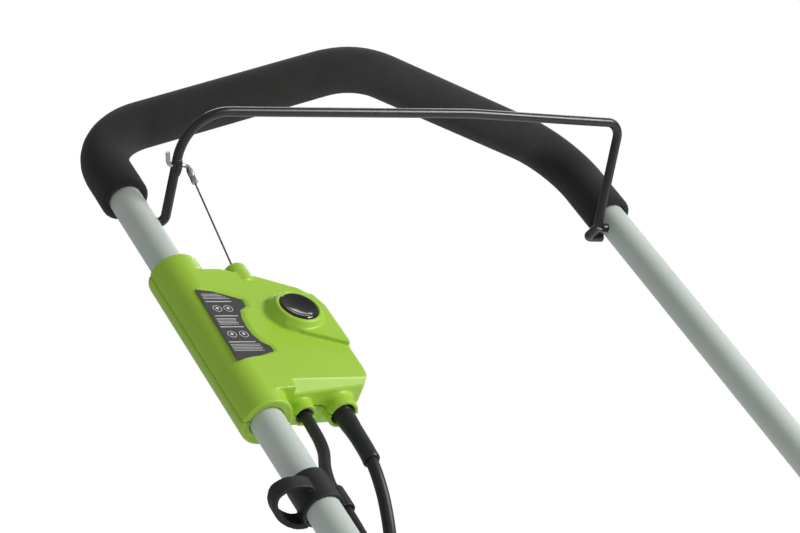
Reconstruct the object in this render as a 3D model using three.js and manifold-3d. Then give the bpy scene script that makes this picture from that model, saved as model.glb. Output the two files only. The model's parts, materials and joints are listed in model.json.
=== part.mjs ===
// Corded electric reel mower with a U-shaped folding handle, built as separate sub-parts.
// Millimetres, +Z up, the front of the mower faces -Y and the operator stands on the +Y side.
import * as THREE from 'three';
import { mergeVertices } from 'three/addons/utils/BufferGeometryUtils.js';
import Module from 'manifold-3d';

const wasm = await Module();
wasm.setup();

// ---------------------------------------------------------------- driving dimensions

const GAP = 0.3; // clearance left between pieces that touch
const TILT = 37.6; // degrees from the ground to the handle tubes

const TUBE_RADIUS = 12.5;
const TUBE_WALL = 1.5;
const HALF_SPAN = 223.7; // handle centre plane to an upper tube's axis
const GRIP_RISE = 104.9; // bail pivots to the grip corners, along the tubes
const APEX_RISE = 122.5; // bail pivots to the middle of the grip, along the tubes
const APEX_LIFT = 69.3; // middle of the grip above the plane of the tubes
const CORNER_BEND = 48;
const APEX_BEND = 100;
const FOLD_DROP = 470; // bail pivots down to the fold bolts, along the tubes
const LOWER_LENGTH = 600; // fold bolts down to the foot of the lower tubes
const FOLD_WASHER = 2; // space between the tubes at the fold bolts
const TUBE_TAIL = 24; // tube left past a fold bolt
const BOLT_RADIUS = 4; // fold bolts and foot bolts

const FOAM_WALL = 6.13; // foam grip, and its two ends above the bail pivots
const FOAM_END_LEFT = 27;
const FOAM_END_RIGHT = 14;

const WIRE_RADIUS = 3.75;
const BAIL_ANGLE = 73; // degrees from the tubes to the released bail
const BAIL_REACH_LEFT = 87.2; // pivot line to the bail's crossbar: left end, kink, right end
const BAIL_REACH_KINK = 93.6;
const BAIL_REACH_RIGHT = 90.3;
const BAIL_KINK_X = 52;
const BAIL_SHANK = 6.5; // bail wire showing between its leg and the tube

const SLEEVE_SHELL = 7.5; // switch box top face above the tube's surface
const BOX_BOTTOM = 17; // switch box underside below the tube axis
const BOX_WALL = 2.6;
const SLEEVE_TOP = -64; // sleeve ends along the tube, from the bail pivots
const SLEEVE_END = -232;
const BUTTON_X = 60.5; // button axis from the tube axis
const BUTTON_V = -138;
const BUTTON_RADIUS = 14.6;
const BUTTON_TRAVEL = 3.5;
const COLLAR_RISE = 8.5; // collar's rim above the switch box top
const LEAD_X = 33; // motor lead gland from the tube axis
const MAINS_X = 65; // mains gland from the tube axis
const LEAD_RADIUS = 4.4;
const MAINS_RADIUS = 4.6;
const GLAND_END = -226;
const LABEL_SINK = 1.4; // label recess depth
const LEVER_X = 41; // switch lever and cable from the tube axis
const LEVER_V = -118;
const CLIP_V = -310;
const CLIP_LENGTH = 28;
const LOWER_CLIP_V = -700;

const PLATE_THICK = 4;
const PLATE_SPACER = 2.2; // side plate to the foot of a lower handle tube
const REEL_RADIUS = 60;
const REEL_Y = -50;
const CUT_HEIGHT = 27;
const BLADE_COUNT = 5;
const BLADE_TWIST = 60; // degrees of helix end to end
const BLADE_DEPTH = 14;
const BLADE_THICK = 3;
const KNIFE_OFFSET = 14; // cutting edge behind the reel axis
const SHAFT_RADIUS = 6;
const WHEEL_RADIUS = 105;
const WHEEL_Y = 55;
const WHEEL_ROOM = 4.8; // lower handle tube to the inner face of a wheel
const WHEEL_WIDTH = 38;
const WHEEL_HOLES = 5;
const AXLE_RADIUS = 6;
const MOTOR_BACK = 80; // reel axis to motor axis, to the rear
const MOTOR_UP = 88; // reel axis to motor axis, upwards
const HOOD_ROOM = 12; // motor and reel to the hood
const MOTOR_RADIUS = 36;
const MOTOR_LENGTH = 150;
const MOTOR_SHAFT = 4;
const PULLEY_DRIVE = 12;
const PULLEY_REEL = 36;
const BELT_WIDTH = 9;
const BELT_THICK = 2.4;
const BELT_EASE = 0.8; // belt to pulley, for the flats of their outlines
const ROLLER_Y = 175;
const ROLLER_RADIUS = 32;
const ROLLER_TRAVEL = 14;
const ROLLER_AXLE = 6;
const PORT_X = -120; // motor lead's hole in the hood
const PORT_Z = 188;
const FOOT_Y = 100; // foot of the lower handle tubes
const FOOT_Z = 152;

// ---------------------------------------------------------------- derived places

const tilt = THREE.MathUtils.degToRad(TILT);
const handleDrop = FOLD_DROP + LOWER_LENGTH;
const handleY = FOOT_Y + handleDrop * Math.cos(tilt);
const handleZ = FOOT_Z + handleDrop * Math.sin(tilt);
const reelZ = CUT_HEIGHT + REEL_RADIUS;
const motorY = REEL_Y + MOTOR_BACK;
const motorZ = reelZ + MOTOR_UP;
const lowerX = HALF_SPAN - 2 * TUBE_RADIUS - FOLD_WASHER;
const plateOut = HALF_SPAN - TUBE_RADIUS - PLATE_SPACER;
const plateX = plateOut - PLATE_THICK;
const wheelX = HALF_SPAN + TUBE_RADIUS + WHEEL_ROOM;
const rollerHalf = plateX - 27;
const foamRadius = TUBE_RADIUS + FOAM_WALL;
const bailHalf = HALF_SPAN - TUBE_RADIUS - BAIL_SHANK - WIRE_RADIUS;
const boxTop = TUBE_RADIUS + SLEEVE_SHELL;
const collarTop = boxTop + COLLAR_RISE;
const tubeHousing = TUBE_RADIUS + 3.5; // inner wall of the switch space, from the tube axis

// ---------------------------------------------------------------- materials

function paint(color, roughness, metalness = 0) {
  return new THREE.MeshStandardMaterial({ color, roughness, metalness });
}
const tubePaint = paint(0xbec6c1, 0.45, 0.1);
const foam = paint(0x2a2928, 0.95);
const green = paint(0x94c43a, 0.4);
const blackPlastic = paint(0x232323, 0.5);
const blackGloss = paint(0x141414, 0.25);
const blackRubber = paint(0x1c1c1c, 0.7);
const labelGrey = paint(0x474747, 0.6);
const steel = paint(0xb5b8bb, 0.3, 1);
const darkSteel = paint(0x4c5054, 0.45, 0.9);
const ivory = paint(0xd9d6cb, 0.5);

// ---------------------------------------------------------------- geometry helpers

// Merges shared corners, drops empty triangles and turns the faces outwards.
function closed(geometry) {
  const g = geometry.clone();
  g.deleteAttribute('normal');
  g.deleteAttribute('uv');
  g.clearGroups();
  const merged = mergeVertices(g, 1e-4);
  const position = merged.attributes.position;
  const source = merged.index.array;
  const faces = [];
  const a = new THREE.Vector3();
  const b = new THREE.Vector3();
  const c = new THREE.Vector3();
  let volume = 0;
  for (let i = 0; i < source.length; i += 3) {
    const [p, q, r] = [source[i], source[i + 1], source[i + 2]];
    if (p === q || q === r || r === p) continue;
    faces.push(p, q, r);
    a.fromBufferAttribute(position, p);
    b.fromBufferAttribute(position, q);
    c.fromBufferAttribute(position, r);
    volume += a.dot(b.cross(c));
  }
  if (volume < 0) {
    for (let i = 0; i < faces.length; i += 3) {
      [faces[i], faces[i + 1]] = [faces[i + 1], faces[i]];
    }
  }
  merged.setIndex(faces);
  return merged;
}

function toSolid(shape) {
  if (!shape.isBufferGeometry) return shape;
  const g = closed(shape);
  return new wasm.Manifold(new wasm.Mesh({
    numProp: 3,
    vertProperties: new Float32Array(g.attributes.position.array),
    triVerts: new Uint32Array(g.index.array),
  }));
}

function toGeometry(solid) {
  const mesh = solid.getMesh();
  const g = new THREE.BufferGeometry();
  g.setAttribute('position', new THREE.BufferAttribute(new Float32Array(mesh.vertProperties), 3));
  g.setIndex(new THREE.BufferAttribute(new Uint32Array(mesh.triVerts), 1));
  return g;
}

function join(first, ...others) {
  return others.reduce((sum, other) => sum.add(toSolid(other)), toSolid(first));
}

function cut(first, ...others) {
  return others.reduce((rest, other) => rest.subtract(toSolid(other)), toSolid(first));
}

// A box between two opposite corners.
function block(x0, y0, z0, x1, y1, z1) {
  const g = new THREE.BoxGeometry(x1 - x0, y1 - y0, z1 - z0);
  return g.translate((x0 + x1) / 2, (y0 + y1) / 2, (z0 + z1) / 2);
}

// A round bar along X, Y or Z from one end to the other, centred on the other two coordinates.
function bar(axis, radius, from, to, u = 0, v = 0, sides = 16) {
  const g = new THREE.CylinderGeometry(radius, radius, Math.abs(to - from), sides);
  const middle = (from + to) / 2;
  if (axis === 'x') return g.rotateZ(-Math.PI / 2).translate(middle, u, v);
  if (axis === 'y') return g.translate(u, middle, v);
  return g.rotateX(Math.PI / 2).translate(u, v, middle);
}

// A turned piece: [radius, height] pairs spun about X, Y or Z.
function turned(axis, profile, sides = 24) {
  const points = profile.map(([r, h]) => new THREE.Vector2(r, h));
  const g = new THREE.LatheGeometry(points, sides);
  if (axis === 'x') g.rotateZ(-Math.PI / 2);
  if (axis === 'z') g.rotateX(Math.PI / 2);
  return g;
}

// A flat outline given a thickness from n0 to n1, with optional round [x, y, radius] holes.
function plate(outline, n0, n1, holes = [], sides = 20) {
  const shape = new THREE.Shape(outline.map(([x, y]) => new THREE.Vector2(x, y)));
  for (const [x, y, radius] of holes) {
    const hole = new THREE.Path();
    hole.absarc(x, y, radius, 0, 2 * Math.PI, true);
    shape.holes.push(hole);
  }
  const options = { depth: n1 - n0, bevelEnabled: false, curveSegments: sides };
  return new THREE.ExtrudeGeometry(shape, options).translate(0, 0, n0);
}

// An outline moved inwards by a distance, corner by corner.
function inset(outline, distance) {
  const points = outline.map(([x, y]) => new THREE.Vector2(x, y));
  const inwards = THREE.ShapeUtils.area(points) > 0 ? 1 : -1;
  const normal = (from, to) => {
    const along = to.clone().sub(from).normalize();
    return new THREE.Vector2(-along.y * inwards, along.x * inwards);
  };
  return points.map((p, i) => {
    const a = normal(points.at(i - 1), p);
    const b = normal(p, points[(i + 1) % points.length]);
    const move = a.clone().add(b).normalize();
    move.multiplyScalar(distance / Math.max(0.3, move.dot(a)));
    return [p.x + move.x, p.y + move.y];
  });
}

// The same, with the outline in the (y, z) plane and the thickness along X.
function sidePlate(outline, x0, x1, holes = [], sides = 20) {
  return plate(outline, x0, x1, holes, sides).rotateY(Math.PI / 2).rotateX(Math.PI / 2);
}

// A route of straight runs with rounded corners: corners are [x, y, z, bend radius].
function route(corners, step = 15) {
  const points = corners.map(([x, y, z]) => new THREE.Vector3(x, y, z));
  const out = [points[0].clone()];
  for (let i = 1; i < points.length - 1; i++) {
    const toBack = points[i - 1].clone().sub(points[i]).normalize();
    const toNext = points[i + 1].clone().sub(points[i]).normalize();
    const opening = toBack.angleTo(toNext);
    const radius = corners[i][3];
    const turn = Math.PI - opening;
    const setback = radius * Math.tan(turn / 2);
    const centre = toBack.clone().add(toNext).normalize();
    centre.multiplyScalar(radius / Math.sin(opening / 2)).add(points[i]);
    const start = points[i].clone().addScaledVector(toBack, setback).sub(centre);
    const axis = new THREE.Vector3().crossVectors(toNext, toBack).normalize();
    const steps = Math.max(2, Math.ceil(THREE.MathUtils.radToDeg(turn) / step));
    for (let k = 0; k <= steps; k++) {
      out.push(start.clone().applyAxisAngle(axis, (turn * k) / steps).add(centre));
    }
  }
  out.push(points.at(-1).clone());
  return out;
}

// A curve that stops exactly at the given points, so that a swept tube has its rings there.
class Stations extends THREE.Curve {
  constructor(points) {
    super();
    this.points = points;
  }

  getPoint(t, target = new THREE.Vector3()) {
    const last = this.points.length - 1;
    const i = Math.min(Math.floor(t * last), last - 1);
    return target.lerpVectors(this.points[i], this.points[i + 1], t * last - i);
  }

  getPointAt(u, target) {
    return this.getPoint(u, target);
  }

  getTangentAt(u, target = new THREE.Vector3()) {
    const last = this.points.length - 1;
    const i = Math.round(u * last);
    const before = this.points[Math.max(i - 1, 0)];
    const here = this.points[i];
    const after = this.points[Math.min(i + 1, last)];
    const arriving = here.clone().sub(before).normalize();
    const leaving = after.clone().sub(here).normalize();
    return target.copy(arriving).add(leaving).normalize();
  }

  getSpacedPoints() {
    return this.points.map((p) => p.clone());
  }
}

function circleShape(radius, sides) {
  const points = [];
  for (let i = 0; i < sides; i++) {
    const angle = (2 * Math.PI * i) / sides;
    points.push(new THREE.Vector2(radius * Math.cos(angle), radius * Math.sin(angle)));
  }
  return new THREE.Shape(points);
}

// A round rod or, with an inner radius, a tube swept along the points.
function sweep(points, radius, inner = 0, sides = 16, innerSides = 8) {
  const shape = circleShape(radius, sides);
  if (inner > 0) shape.holes.push(circleShape(inner, innerSides));
  const options = { steps: points.length - 1, extrudePath: new Stations(points), bevelEnabled: false };
  return new THREE.ExtrudeGeometry(shape, options);
}

// Points of a smooth curve through a hand-chosen list, one every `step` millimetres.
function smooth(list, step) {
  const curve = new THREE.CatmullRomCurve3(list.map((p) => new THREE.Vector3(...p)), false, 'centripetal');
  return curve.getSpacedPoints(Math.max(2, Math.round(curve.getLength() / step)));
}

function mirrorX(shape) {
  return closed(shape.isBufferGeometry ? shape.clone().scale(-1, 1, 1) : toGeometry(shape).scale(-1, 1, 1));
}

function add(parent, name, shape, material) {
  const mesh = new THREE.Mesh(closed(shape.isBufferGeometry ? shape : toGeometry(shape)), material);
  mesh.name = name;
  parent.add(mesh);
  return mesh;
}

// ---------------------------------------------------------------- groups

const mower = new THREE.Group();

// Handle frame: X across, Y up the tubes, Z square to them towards the front.
const handle = new THREE.Group();
handle.position.set(0, handleY, handleZ);
handle.rotation.x = tilt;
mower.add(handle);

// Bail frame: Y along the bail legs, turned about the pivot line.
const bail = new THREE.Group();
bail.rotation.x = THREE.MathUtils.degToRad(BAIL_ANGLE);
handle.add(bail);

// Switch box frame: the handle frame moved onto the left tube's axis.
const box = new THREE.Group();
box.position.x = -HALF_SPAN;
handle.add(box);

// Handle-frame point to mower-frame point.
function fromHandle(x, v, n) {
  return new THREE.Vector3(x, v, n).applyAxisAngle(new THREE.Vector3(1, 0, 0), tilt)
    .add(new THREE.Vector3(0, handleY, handleZ));
}

// ---------------------------------------------------------------- upper handle and grip

const tubeTail = -FOLD_DROP - TUBE_TAIL;
const gripRoute = [
  [-HALF_SPAN, GRIP_RISE, 0, CORNER_BEND],
  [0, APEX_RISE, APEX_LIFT, APEX_BEND],
  [HALF_SPAN, GRIP_RISE, 0, CORNER_BEND],
];

function upperHandleTube() {
  const points = route([[-HALF_SPAN, tubeTail, 0], ...gripRoute, [HALF_SPAN, tubeTail, 0]], 18);
  const tube = sweep(points, TUBE_RADIUS, TUBE_RADIUS - TUBE_WALL, 16);
  const holes = [];
  for (const side of [-1, 1]) {
    const axisX = side * HALF_SPAN;
    holes.push(bar('x', WIRE_RADIUS + GAP, axisX - side * (TUBE_RADIUS + 4), axisX));
    holes.push(bar('x', BOLT_RADIUS + GAP, axisX - side * 30, axisX + side * 20, -FOLD_DROP, 0));
  }
  return cut(tube, ...holes);
}

function foamGrip() {
  const ends = [[-HALF_SPAN, FOAM_END_LEFT, 0], ...gripRoute, [HALF_SPAN, FOAM_END_RIGHT, 0]];
  return sweep(route(ends, 18), foamRadius, (TUBE_RADIUS + GAP) / Math.cos(Math.PI / 16), 16, 16);
}

add(handle, 'upper_handle_tube', upperHandleTube(), tubePaint);
add(handle, 'foam_grip', foamGrip(), foam);

// ---------------------------------------------------------------- bail, cable hook and pull cable

const PADDLE_REACH = 45; // pivot line to the cable hole in the bail's flattened leg
const PADDLE_HOLE = 2.4;
const CABLE_TAIL = 24; // pull cable inside the switch box
const HOOK_RADIUS = 1.7;
const STOP_RISE = 7; // bail stop above the pivots, along the tube
const STOP_X = HALF_SPAN - 6.5; // end of the stop, behind the right tube

// A handle-frame point in the bail frame.
function inBail(x, v, n) {
  return new THREE.Vector3(x, v, n).applyAxisAngle(new THREE.Vector3(1, 0, 0), -bail.rotation.x).toArray();
}

function bailBar() {
  const pin = HALF_SPAN - TUBE_RADIUS + TUBE_WALL + 3;
  const wire = sweep(route([
    [-pin, 0, 0],
    [-bailHalf - 2, 0, 0, 6],
    [-bailHalf, BAIL_REACH_LEFT, 0, 38],
    [BAIL_KINK_X, BAIL_REACH_KINK, 0, 60],
    [bailHalf, BAIL_REACH_RIGHT, 0, 13],
    [bailHalf + 1, 0, 0, 6],
    [pin, 0, 0],
  ], 24), WIRE_RADIUS, 0, 10);
  const tubeBack = Math.sqrt(TUBE_RADIUS ** 2 - (HALF_SPAN - STOP_X) ** 2);
  const behind = -(tubeBack + WIRE_RADIUS + GAP);
  const stop = sweep(route([
    inBail(bailHalf + 1, -1, 3),
    [...inBail(bailHalf + 1, STOP_RISE, behind), 5],
    inBail(STOP_X, STOP_RISE, behind),
  ], 24), WIRE_RADIUS, 0, 10);
  const paddle = block(
    -bailHalf - 2.6, PADDLE_REACH - 9, -5.2,
    -bailHalf + 2.2, PADDLE_REACH + 7, 5.2,
  );
  const hole = bar('x', PADDLE_HOLE, -bailHalf - 12, -bailHalf + 12, PADDLE_REACH, 0, 16);
  return cut(join(wire, stop, paddle), hole);
}

// The cable hook goes through the paddle from the inside and curls up outside.
const cableEntry = [-HALF_SPAN + LEVER_X, -76, 13];
const hookHole = new THREE.Vector3(-bailHalf, PADDLE_REACH, 0)
  .applyAxisAngle(new THREE.Vector3(1, 0, 0), bail.rotation.x);
const ferruleTop = new THREE.Vector3(hookHole.x + 9, hookHole.y - 3, hookHole.z - 1);
const cableWay = new THREE.Vector3(...cableEntry).sub(ferruleTop).normalize();
const ferruleEnd = ferruleTop.clone().addScaledVector(cableWay, 13);

function cableHook() {
  const wire = sweep(route([
    [hookHole.x - 10, hookHole.y + 3, hookHole.z + 10],
    [hookHole.x - 7.5, hookHole.y, hookHole.z, 5],
    [ferruleTop.x, hookHole.y + 0.2, hookHole.z, 3],
    ferruleTop.clone().addScaledVector(cableWay, 3).toArray(),
  ], 20), HOOK_RADIUS, 0, 10);
  const ferrule = sweep([ferruleTop, ferruleEnd], 2.4, 0, 12);
  return join(wire, ferrule);
}

function pullCable() {
  const start = ferruleEnd.clone().addScaledVector(cableWay, GAP);
  const inside = new THREE.Vector3(...cableEntry).addScaledVector(cableWay, CABLE_TAIL);
  return sweep([start, new THREE.Vector3(...cableEntry), inside], 0.75, 0, 8);
}

add(bail, 'bail_bar', bailBar(), blackGloss);
add(handle, 'cable_hook', cableHook(), steel);
add(handle, 'pull_cable', pullCable(), steel);

// ---------------------------------------------------------------- switch box

const bodyOutline = [
  [0, -82], [22, -82], [50, -91], [79, -105], [87, -114], [89, -130],
  [89, -185], [88, -204], [83, -213], [0, -219],
];
const wallInside = boxTop - BOX_WALL;
const labelOutline = [
  [-8, -106], [6, -108.5], [26, -118], [25.5, -126], [18.5, -130.5], [15.6, -140],
  [15, -149], [15.6, -158], [19, -167], [24, -171], [24.5, -177], [13, -181], [-10, -187],
];

// Half of the sleeve round the tube: side is +1 for the cover, -1 for the base.
function sleeveHalf(side) {
  const outer = bar('y', boxTop, SLEEVE_END, SLEEVE_TOP, 0, 0, 24);
  const n0 = side > 0 ? -60 : -GAP / 2;
  const n1 = side > 0 ? GAP / 2 : 60;
  return cut(outer, block(-60, -300, n0, 60, 0, n1));
}

function gland(x, radius, side) {
  const outer = bar('y', radius, GLAND_END, -207, x, 0, 20);
  const n0 = side > 0 ? -60 : -GAP / 2;
  const n1 = side > 0 ? GAP / 2 : 60;
  return cut(outer, block(0, -300, n0, 120, 0, n1));
}

// The hollow inside the shells, beside the tube.
function switchSpace(n0, n1) {
  const hollow = plate(inset(bodyOutline, BOX_WALL), n0, n1);
  return cut(hollow, block(-10, -300, n0 - 1, tubeHousing, 0, n1 + 1));
}

// The way through the shells for the tube, wider in the open mouth at the lower end.
function tubeBore() {
  const mouth = bar('y', boxTop - BOX_WALL, SLEEVE_END - 1, SLEEVE_END + 10, 0, 0, 16);
  return join(bar('y', TUBE_RADIUS + GAP, -260, -40, 0, 0, 16), mouth);
}

const leadBore = LEAD_RADIUS + 1.8;
const mainsBore = MAINS_RADIUS + 4.2;
const screwPlaces = [[80, -122], [79, -199]];

function glandBores() {
  return [
    bar('y', leadBore + GAP, GLAND_END - 2, -205, LEAD_X, 0, 16),
    bar('y', mainsBore + GAP, GLAND_END - 2, -205, MAINS_X, 0, 16),
  ];
}

function switchBoxCover() {
  const body = plate(bodyOutline, GAP / 2, boxTop);
  const plateau = plate([
    [44, -122], [52, -117], [84, -116.5], [88.5, -130], [89, -174], [56, -160], [44, -152],
  ], boxTop - 2, boxTop + 4);
  const collar = turned('z', [
    [0, boxTop - 3], [23, boxTop - 3], [22, boxTop + 1], [17.6, collarTop], [0, collarTop],
  ], 24).translate(BUTTON_X, BUTTON_V, 0);
  const boss = cut(bar('y', 9.5, -96, -76, LEVER_X, 12, 28), block(0, -300, -60, 120, 0, GAP / 2));
  const cover = join(
    body, sleeveHalf(1), plateau, collar, boss,
    gland(LEAD_X, leadBore + 3, 1), gland(MAINS_X, mainsBore + 3, 1),
  );
  const slope = block(0, -40, 0, 140, 40, 40);
  slope.rotateX(THREE.MathUtils.degToRad(40));
  slope.translate(24, -208, boxTop);
  const slopeCut = toSolid(slope).intersect(toSolid(block(24, -300, 6, 140, -203, 60)));
  const well = bar('z', BUTTON_RADIUS + GAP, 0, 60, BUTTON_X, BUTTON_V, 24);
  const cavity = switchSpace(-1, wallInside);
  const lowerCavity = block(15, -225, 10, 90, -203, 40);
  const label = plate(labelOutline, boxTop - LABEL_SINK, boxTop + 10);
  const entry = new THREE.Vector3(...cableEntry).add(new THREE.Vector3(HALF_SPAN, 0, 0));
  const cableHole = sweep([
    entry.clone().addScaledVector(cableWay, -20), entry.clone().addScaledVector(cableWay, CABLE_TAIL + 2),
  ], 2.2, 0, 10);
  const posts = screwPlaces.map(([x, v]) => bar('z', 3.6, GAP / 2, wallInside + 1, x, v, 16));
  const threads = screwPlaces.map(([x, v]) => bar('z', 1.7, -1, 12, x, v, 12));
  let solid = cut(cover, tubeBore(), cut(cavity, lowerCavity), well, label, cableHole, ...glandBores());
  solid = solid.subtract(slopeCut);
  return cut(join(solid, ...posts), ...threads);
}

// Two cheeks and a pin on the base's floor, for the switch lever.
function leverMount() {
  const cheeks = [-1, 1].map((side) => block(
    LEVER_X + side * 6.5 - 1.5, LEVER_V - 5, -BOX_BOTTOM + 1, LEVER_X + side * 6.5 + 1.5, LEVER_V + 5, 4,
  ));
  return join(...cheeks, bar('x', 1.5, LEVER_X - 7, LEVER_X + 7, LEVER_V, 0, 16));
}

function switchBoxBase() {
  const body = plate(bodyOutline, -BOX_BOTTOM, -GAP / 2);
  const base = join(
    body, sleeveHalf(-1),
    gland(LEAD_X, leadBore + 3, -1), gland(MAINS_X, mainsBore + 3, -1),
  );
  const cavity = switchSpace(-BOX_BOTTOM + BOX_WALL, 1);
  const posts = screwPlaces.map(([x, v]) => bar('z', 5, -BOX_BOTTOM, -GAP / 2, x, v, 16));
  const screwHoles = screwPlaces.map(([x, v]) => bar('z', 1.8 + GAP, -40, 10, x, v, 12));
  const headPockets = screwPlaces.map(([x, v]) => bar('z', 3.6, -40, -10, x, v, 12));
  const shell = cut(base, tubeBore(), cavity, ...glandBores());
  return join(cut(join(shell, ...posts), ...screwHoles, ...headPockets), leverMount());
}

function lockButton() {
  const top = collarTop + 1.2;
  return turned('z', [
    [0, 8], [4, 8], [4, 13], [BUTTON_RADIUS, 13], [BUTTON_RADIUS, top - 1],
    [BUTTON_RADIUS - 1.2, top], [BUTTON_RADIUS - 4, top - 1.2], [0, top - 3],
  ], 24).translate(BUTTON_X, BUTTON_V, 0);
}

function boxScrew([x, v]) {
  return turned('z', [
    [0, -13], [1.1, -13], [1.1, -14.4], [3.2, -14.4], [3.2, -10.4 + GAP], [1.6, -10.4 + GAP],
    [1.6, 8], [0, 9],
  ], 14).translate(x, v, 0);
}

// Switch internals, standing on the base's floor.
const floor = -BOX_BOTTOM + BOX_WALL + GAP;

function switchLever() {
  const arm = block(LEVER_X - 2, LEVER_V - 3, -4, LEVER_X + 2, -101, 4);
  const hub = bar('x', 5, LEVER_X - 3.5, LEVER_X + 3.5, LEVER_V, 0, 20);
  const foot = block(LEVER_X - 2, LEVER_V - 14, -3, LEVER_X + 2, LEVER_V, 3);
  const pin = bar('x', 1.5 + GAP, LEVER_X - 5, LEVER_X + 5, LEVER_V, 0, 16);
  return cut(join(arm, hub, foot), pin);
}

function microswitch() {
  const body = block(LEVER_X - 7, -168, floor, LEVER_X + 7, -141, 7);
  const plunger = bar('y', 2, -142, -136.5, LEVER_X, 0, 12);
  const tabs = [-1, 0, 1].map((k) => block(
    LEVER_X + k * 4.5 - 1, -175, -4, LEVER_X + k * 4.5 + 1, -167, -3,
  ));
  return join(body, plunger, ...tabs);
}

function terminalBlock() {
  const body = block(23, -201, floor, 70, -185, 3);
  const ports = [30, 41, 52, 63].map((x) => bar('y', 2.4, -202, -184, x, -5, 8));
  const screws = [30, 41, 52, 63].map((x) => bar('z', 2, -1, 5, x, -193, 8));
  return cut(body, ...ports, ...screws);
}

function buttonSpring() {
  const turns = 4;
  const low = floor;
  const high = 8 - GAP;
  const points = [];
  for (let i = 0; i <= turns * 8; i++) {
    const t = i / (turns * 8);
    const angle = 2 * Math.PI * turns * t;
    points.push(new THREE.Vector3(
      5.5 * Math.cos(angle), 5.5 * Math.sin(angle), low + 0.6 + (high - low - 1.2) * t,
    ));
  }
  return sweep(points, 0.55, 0, 6).translate(BUTTON_X, BUTTON_V, 0);
}

add(box, 'switch_box_cover', switchBoxCover(), green);
add(box, 'switch_box_base', switchBoxBase(), green);
add(box, 'instruction_label', plate(
  inset(labelOutline, GAP), boxTop - LABEL_SINK + GAP, boxTop - LABEL_SINK + 0.8,
), labelGrey);
add(box, 'lock_button', lockButton(), blackGloss);
add(box, 'button_spring', buttonSpring(), steel);
add(box, 'switch_lever', switchLever(), ivory);
add(box, 'microswitch', microswitch(), blackPlastic);
add(box, 'terminal_block', terminalBlock(), ivory);
screwPlaces.forEach((place, i) => add(box, `box_screw_${i + 1}`, boxScrew(place), steel));

// ---------------------------------------------------------------- glands, cords and plug

function leadGrommet() {
  return turned('y', [
    [LEAD_RADIUS + GAP, GLAND_END + 2], [leadBore, GLAND_END + 2], [leadBore, -206],
    [LEAD_RADIUS + GAP, -206], [LEAD_RADIUS + GAP, GLAND_END + 2],
  ], 20).translate(LEAD_X, 0, 0);
}

// The mains relief: a flange in the gland and a tapering sleeve that follows the cord.
const mainsRoute = [
  [MAINS_X, -212, 0], [MAINS_X, -230, 0], [MAINS_X, -250, -0.3], [MAINS_X - 0.3, -270, -1.2],
  [MAINS_X - 0.6, -290, -6.5], [MAINS_X - 1, -310, -16.5], [MAINS_X - 1.5, -330, -32],
  [MAINS_X - 2, -350, -56], [MAINS_X - 2, -370, -88], [MAINS_X - 1, -392, -128],
  [MAINS_X + 2, -418, -172], [MAINS_X + 4, -448, -214], [MAINS_X + 4, -480, -256],
];
const reliefPoints = smooth(mainsRoute.slice(0, 4), 16);

function strainRelief() {
  const sleeve = sweep(reliefPoints, MAINS_RADIUS + 2, MAINS_RADIUS + 2 * GAP, 12, 8);
  const flange = cut(
    bar('y', mainsBore, -222, -206, MAINS_X, 0, 20),
    bar('y', MAINS_RADIUS + 2 * GAP, -240, -200, MAINS_X, 0, 12),
  );
  return join(flange, sleeve);
}

function mainsCord() {
  return sweep(smooth(mainsRoute, 20), MAINS_RADIUS, 0, 8);
}

function mainsPlug() {
  const end = new THREE.Vector3(...mainsRoute.at(-1));
  const way = end.clone().sub(new THREE.Vector3(...mainsRoute.at(-2))).normalize();
  const body = turned('y', [
    [0, GAP], [7, GAP], [9.5, 22], [17, 34], [17, 58], [15.5, 62], [0, 62],
  ], 24);
  const pins = [-1, 1].map((side) => bar('y', 2.4, 61, 80, side * 9.5, 0, 12));
  const plug = toGeometry(join(body, ...pins));
  const turn = new THREE.Quaternion().setFromUnitVectors(new THREE.Vector3(0, 1, 0), way);
  return plug.applyQuaternion(turn).translate(end.x, end.y, end.z);
}

add(box, 'lead_grommet', leadGrommet(), blackRubber);
add(box, 'mains_strain_relief', strainRelief(), blackRubber);
add(box, 'mains_cord', mainsCord(), blackRubber);
add(box, 'mains_plug', mainsPlug(), blackRubber);

// Motor lead in the handle frame: from the gland, beside the left tubes, down to the motor.
const LEAD_SINK = -1;
const leadBeside = TUBE_RADIUS + LEAD_RADIUS + 1.6; // tube axis to the lead's axis beside it
const besideUpper = -HALF_SPAN + leadBeside;
const besideLower = -lowerX + leadBeside;

// Mower-frame point in the handle frame.
function toHandle(x, y, z) {
  return new THREE.Vector3(x, y - handleY, z - handleZ)
    .applyAxisAngle(new THREE.Vector3(1, 0, 0), -tilt).toArray();
}

const leadRoute = [
  [-HALF_SPAN + LEAD_X, -212, 0], [-HALF_SPAN + LEAD_X, -236, 0], [-HALF_SPAN + LEAD_X - 3, -262, 0],
  [besideUpper + 4, -282, LEAD_SINK], [besideUpper, -300, LEAD_SINK], [besideUpper, -325, LEAD_SINK],
  [besideUpper + 1, -375, LEAD_SINK - 3], [besideUpper + 10, -425, LEAD_SINK - 10],
  [besideLower + 6, -470, LEAD_SINK - 14], [besideLower + 3, -520, LEAD_SINK - 8],
  [besideLower, -570, LEAD_SINK], [besideLower, -620, LEAD_SINK], [besideLower, LOWER_CLIP_V, LEAD_SINK],
  [besideLower, -780, LEAD_SINK], [besideLower, -850, LEAD_SINK], [besideLower + 6, -900, LEAD_SINK],
  [besideLower + 30, -950, LEAD_SINK + 6], toHandle(PORT_X - 6, 150, PORT_Z + 22),
  toHandle(PORT_X, 122, PORT_Z + 3), toHandle(PORT_X, 104, PORT_Z), toHandle(PORT_X, 78, PORT_Z),
];

add(handle, 'motor_lead', sweep(smooth(leadRoute, 24), LEAD_RADIUS, 0, 8), blackRubber);

// ---------------------------------------------------------------- cord clips

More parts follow.
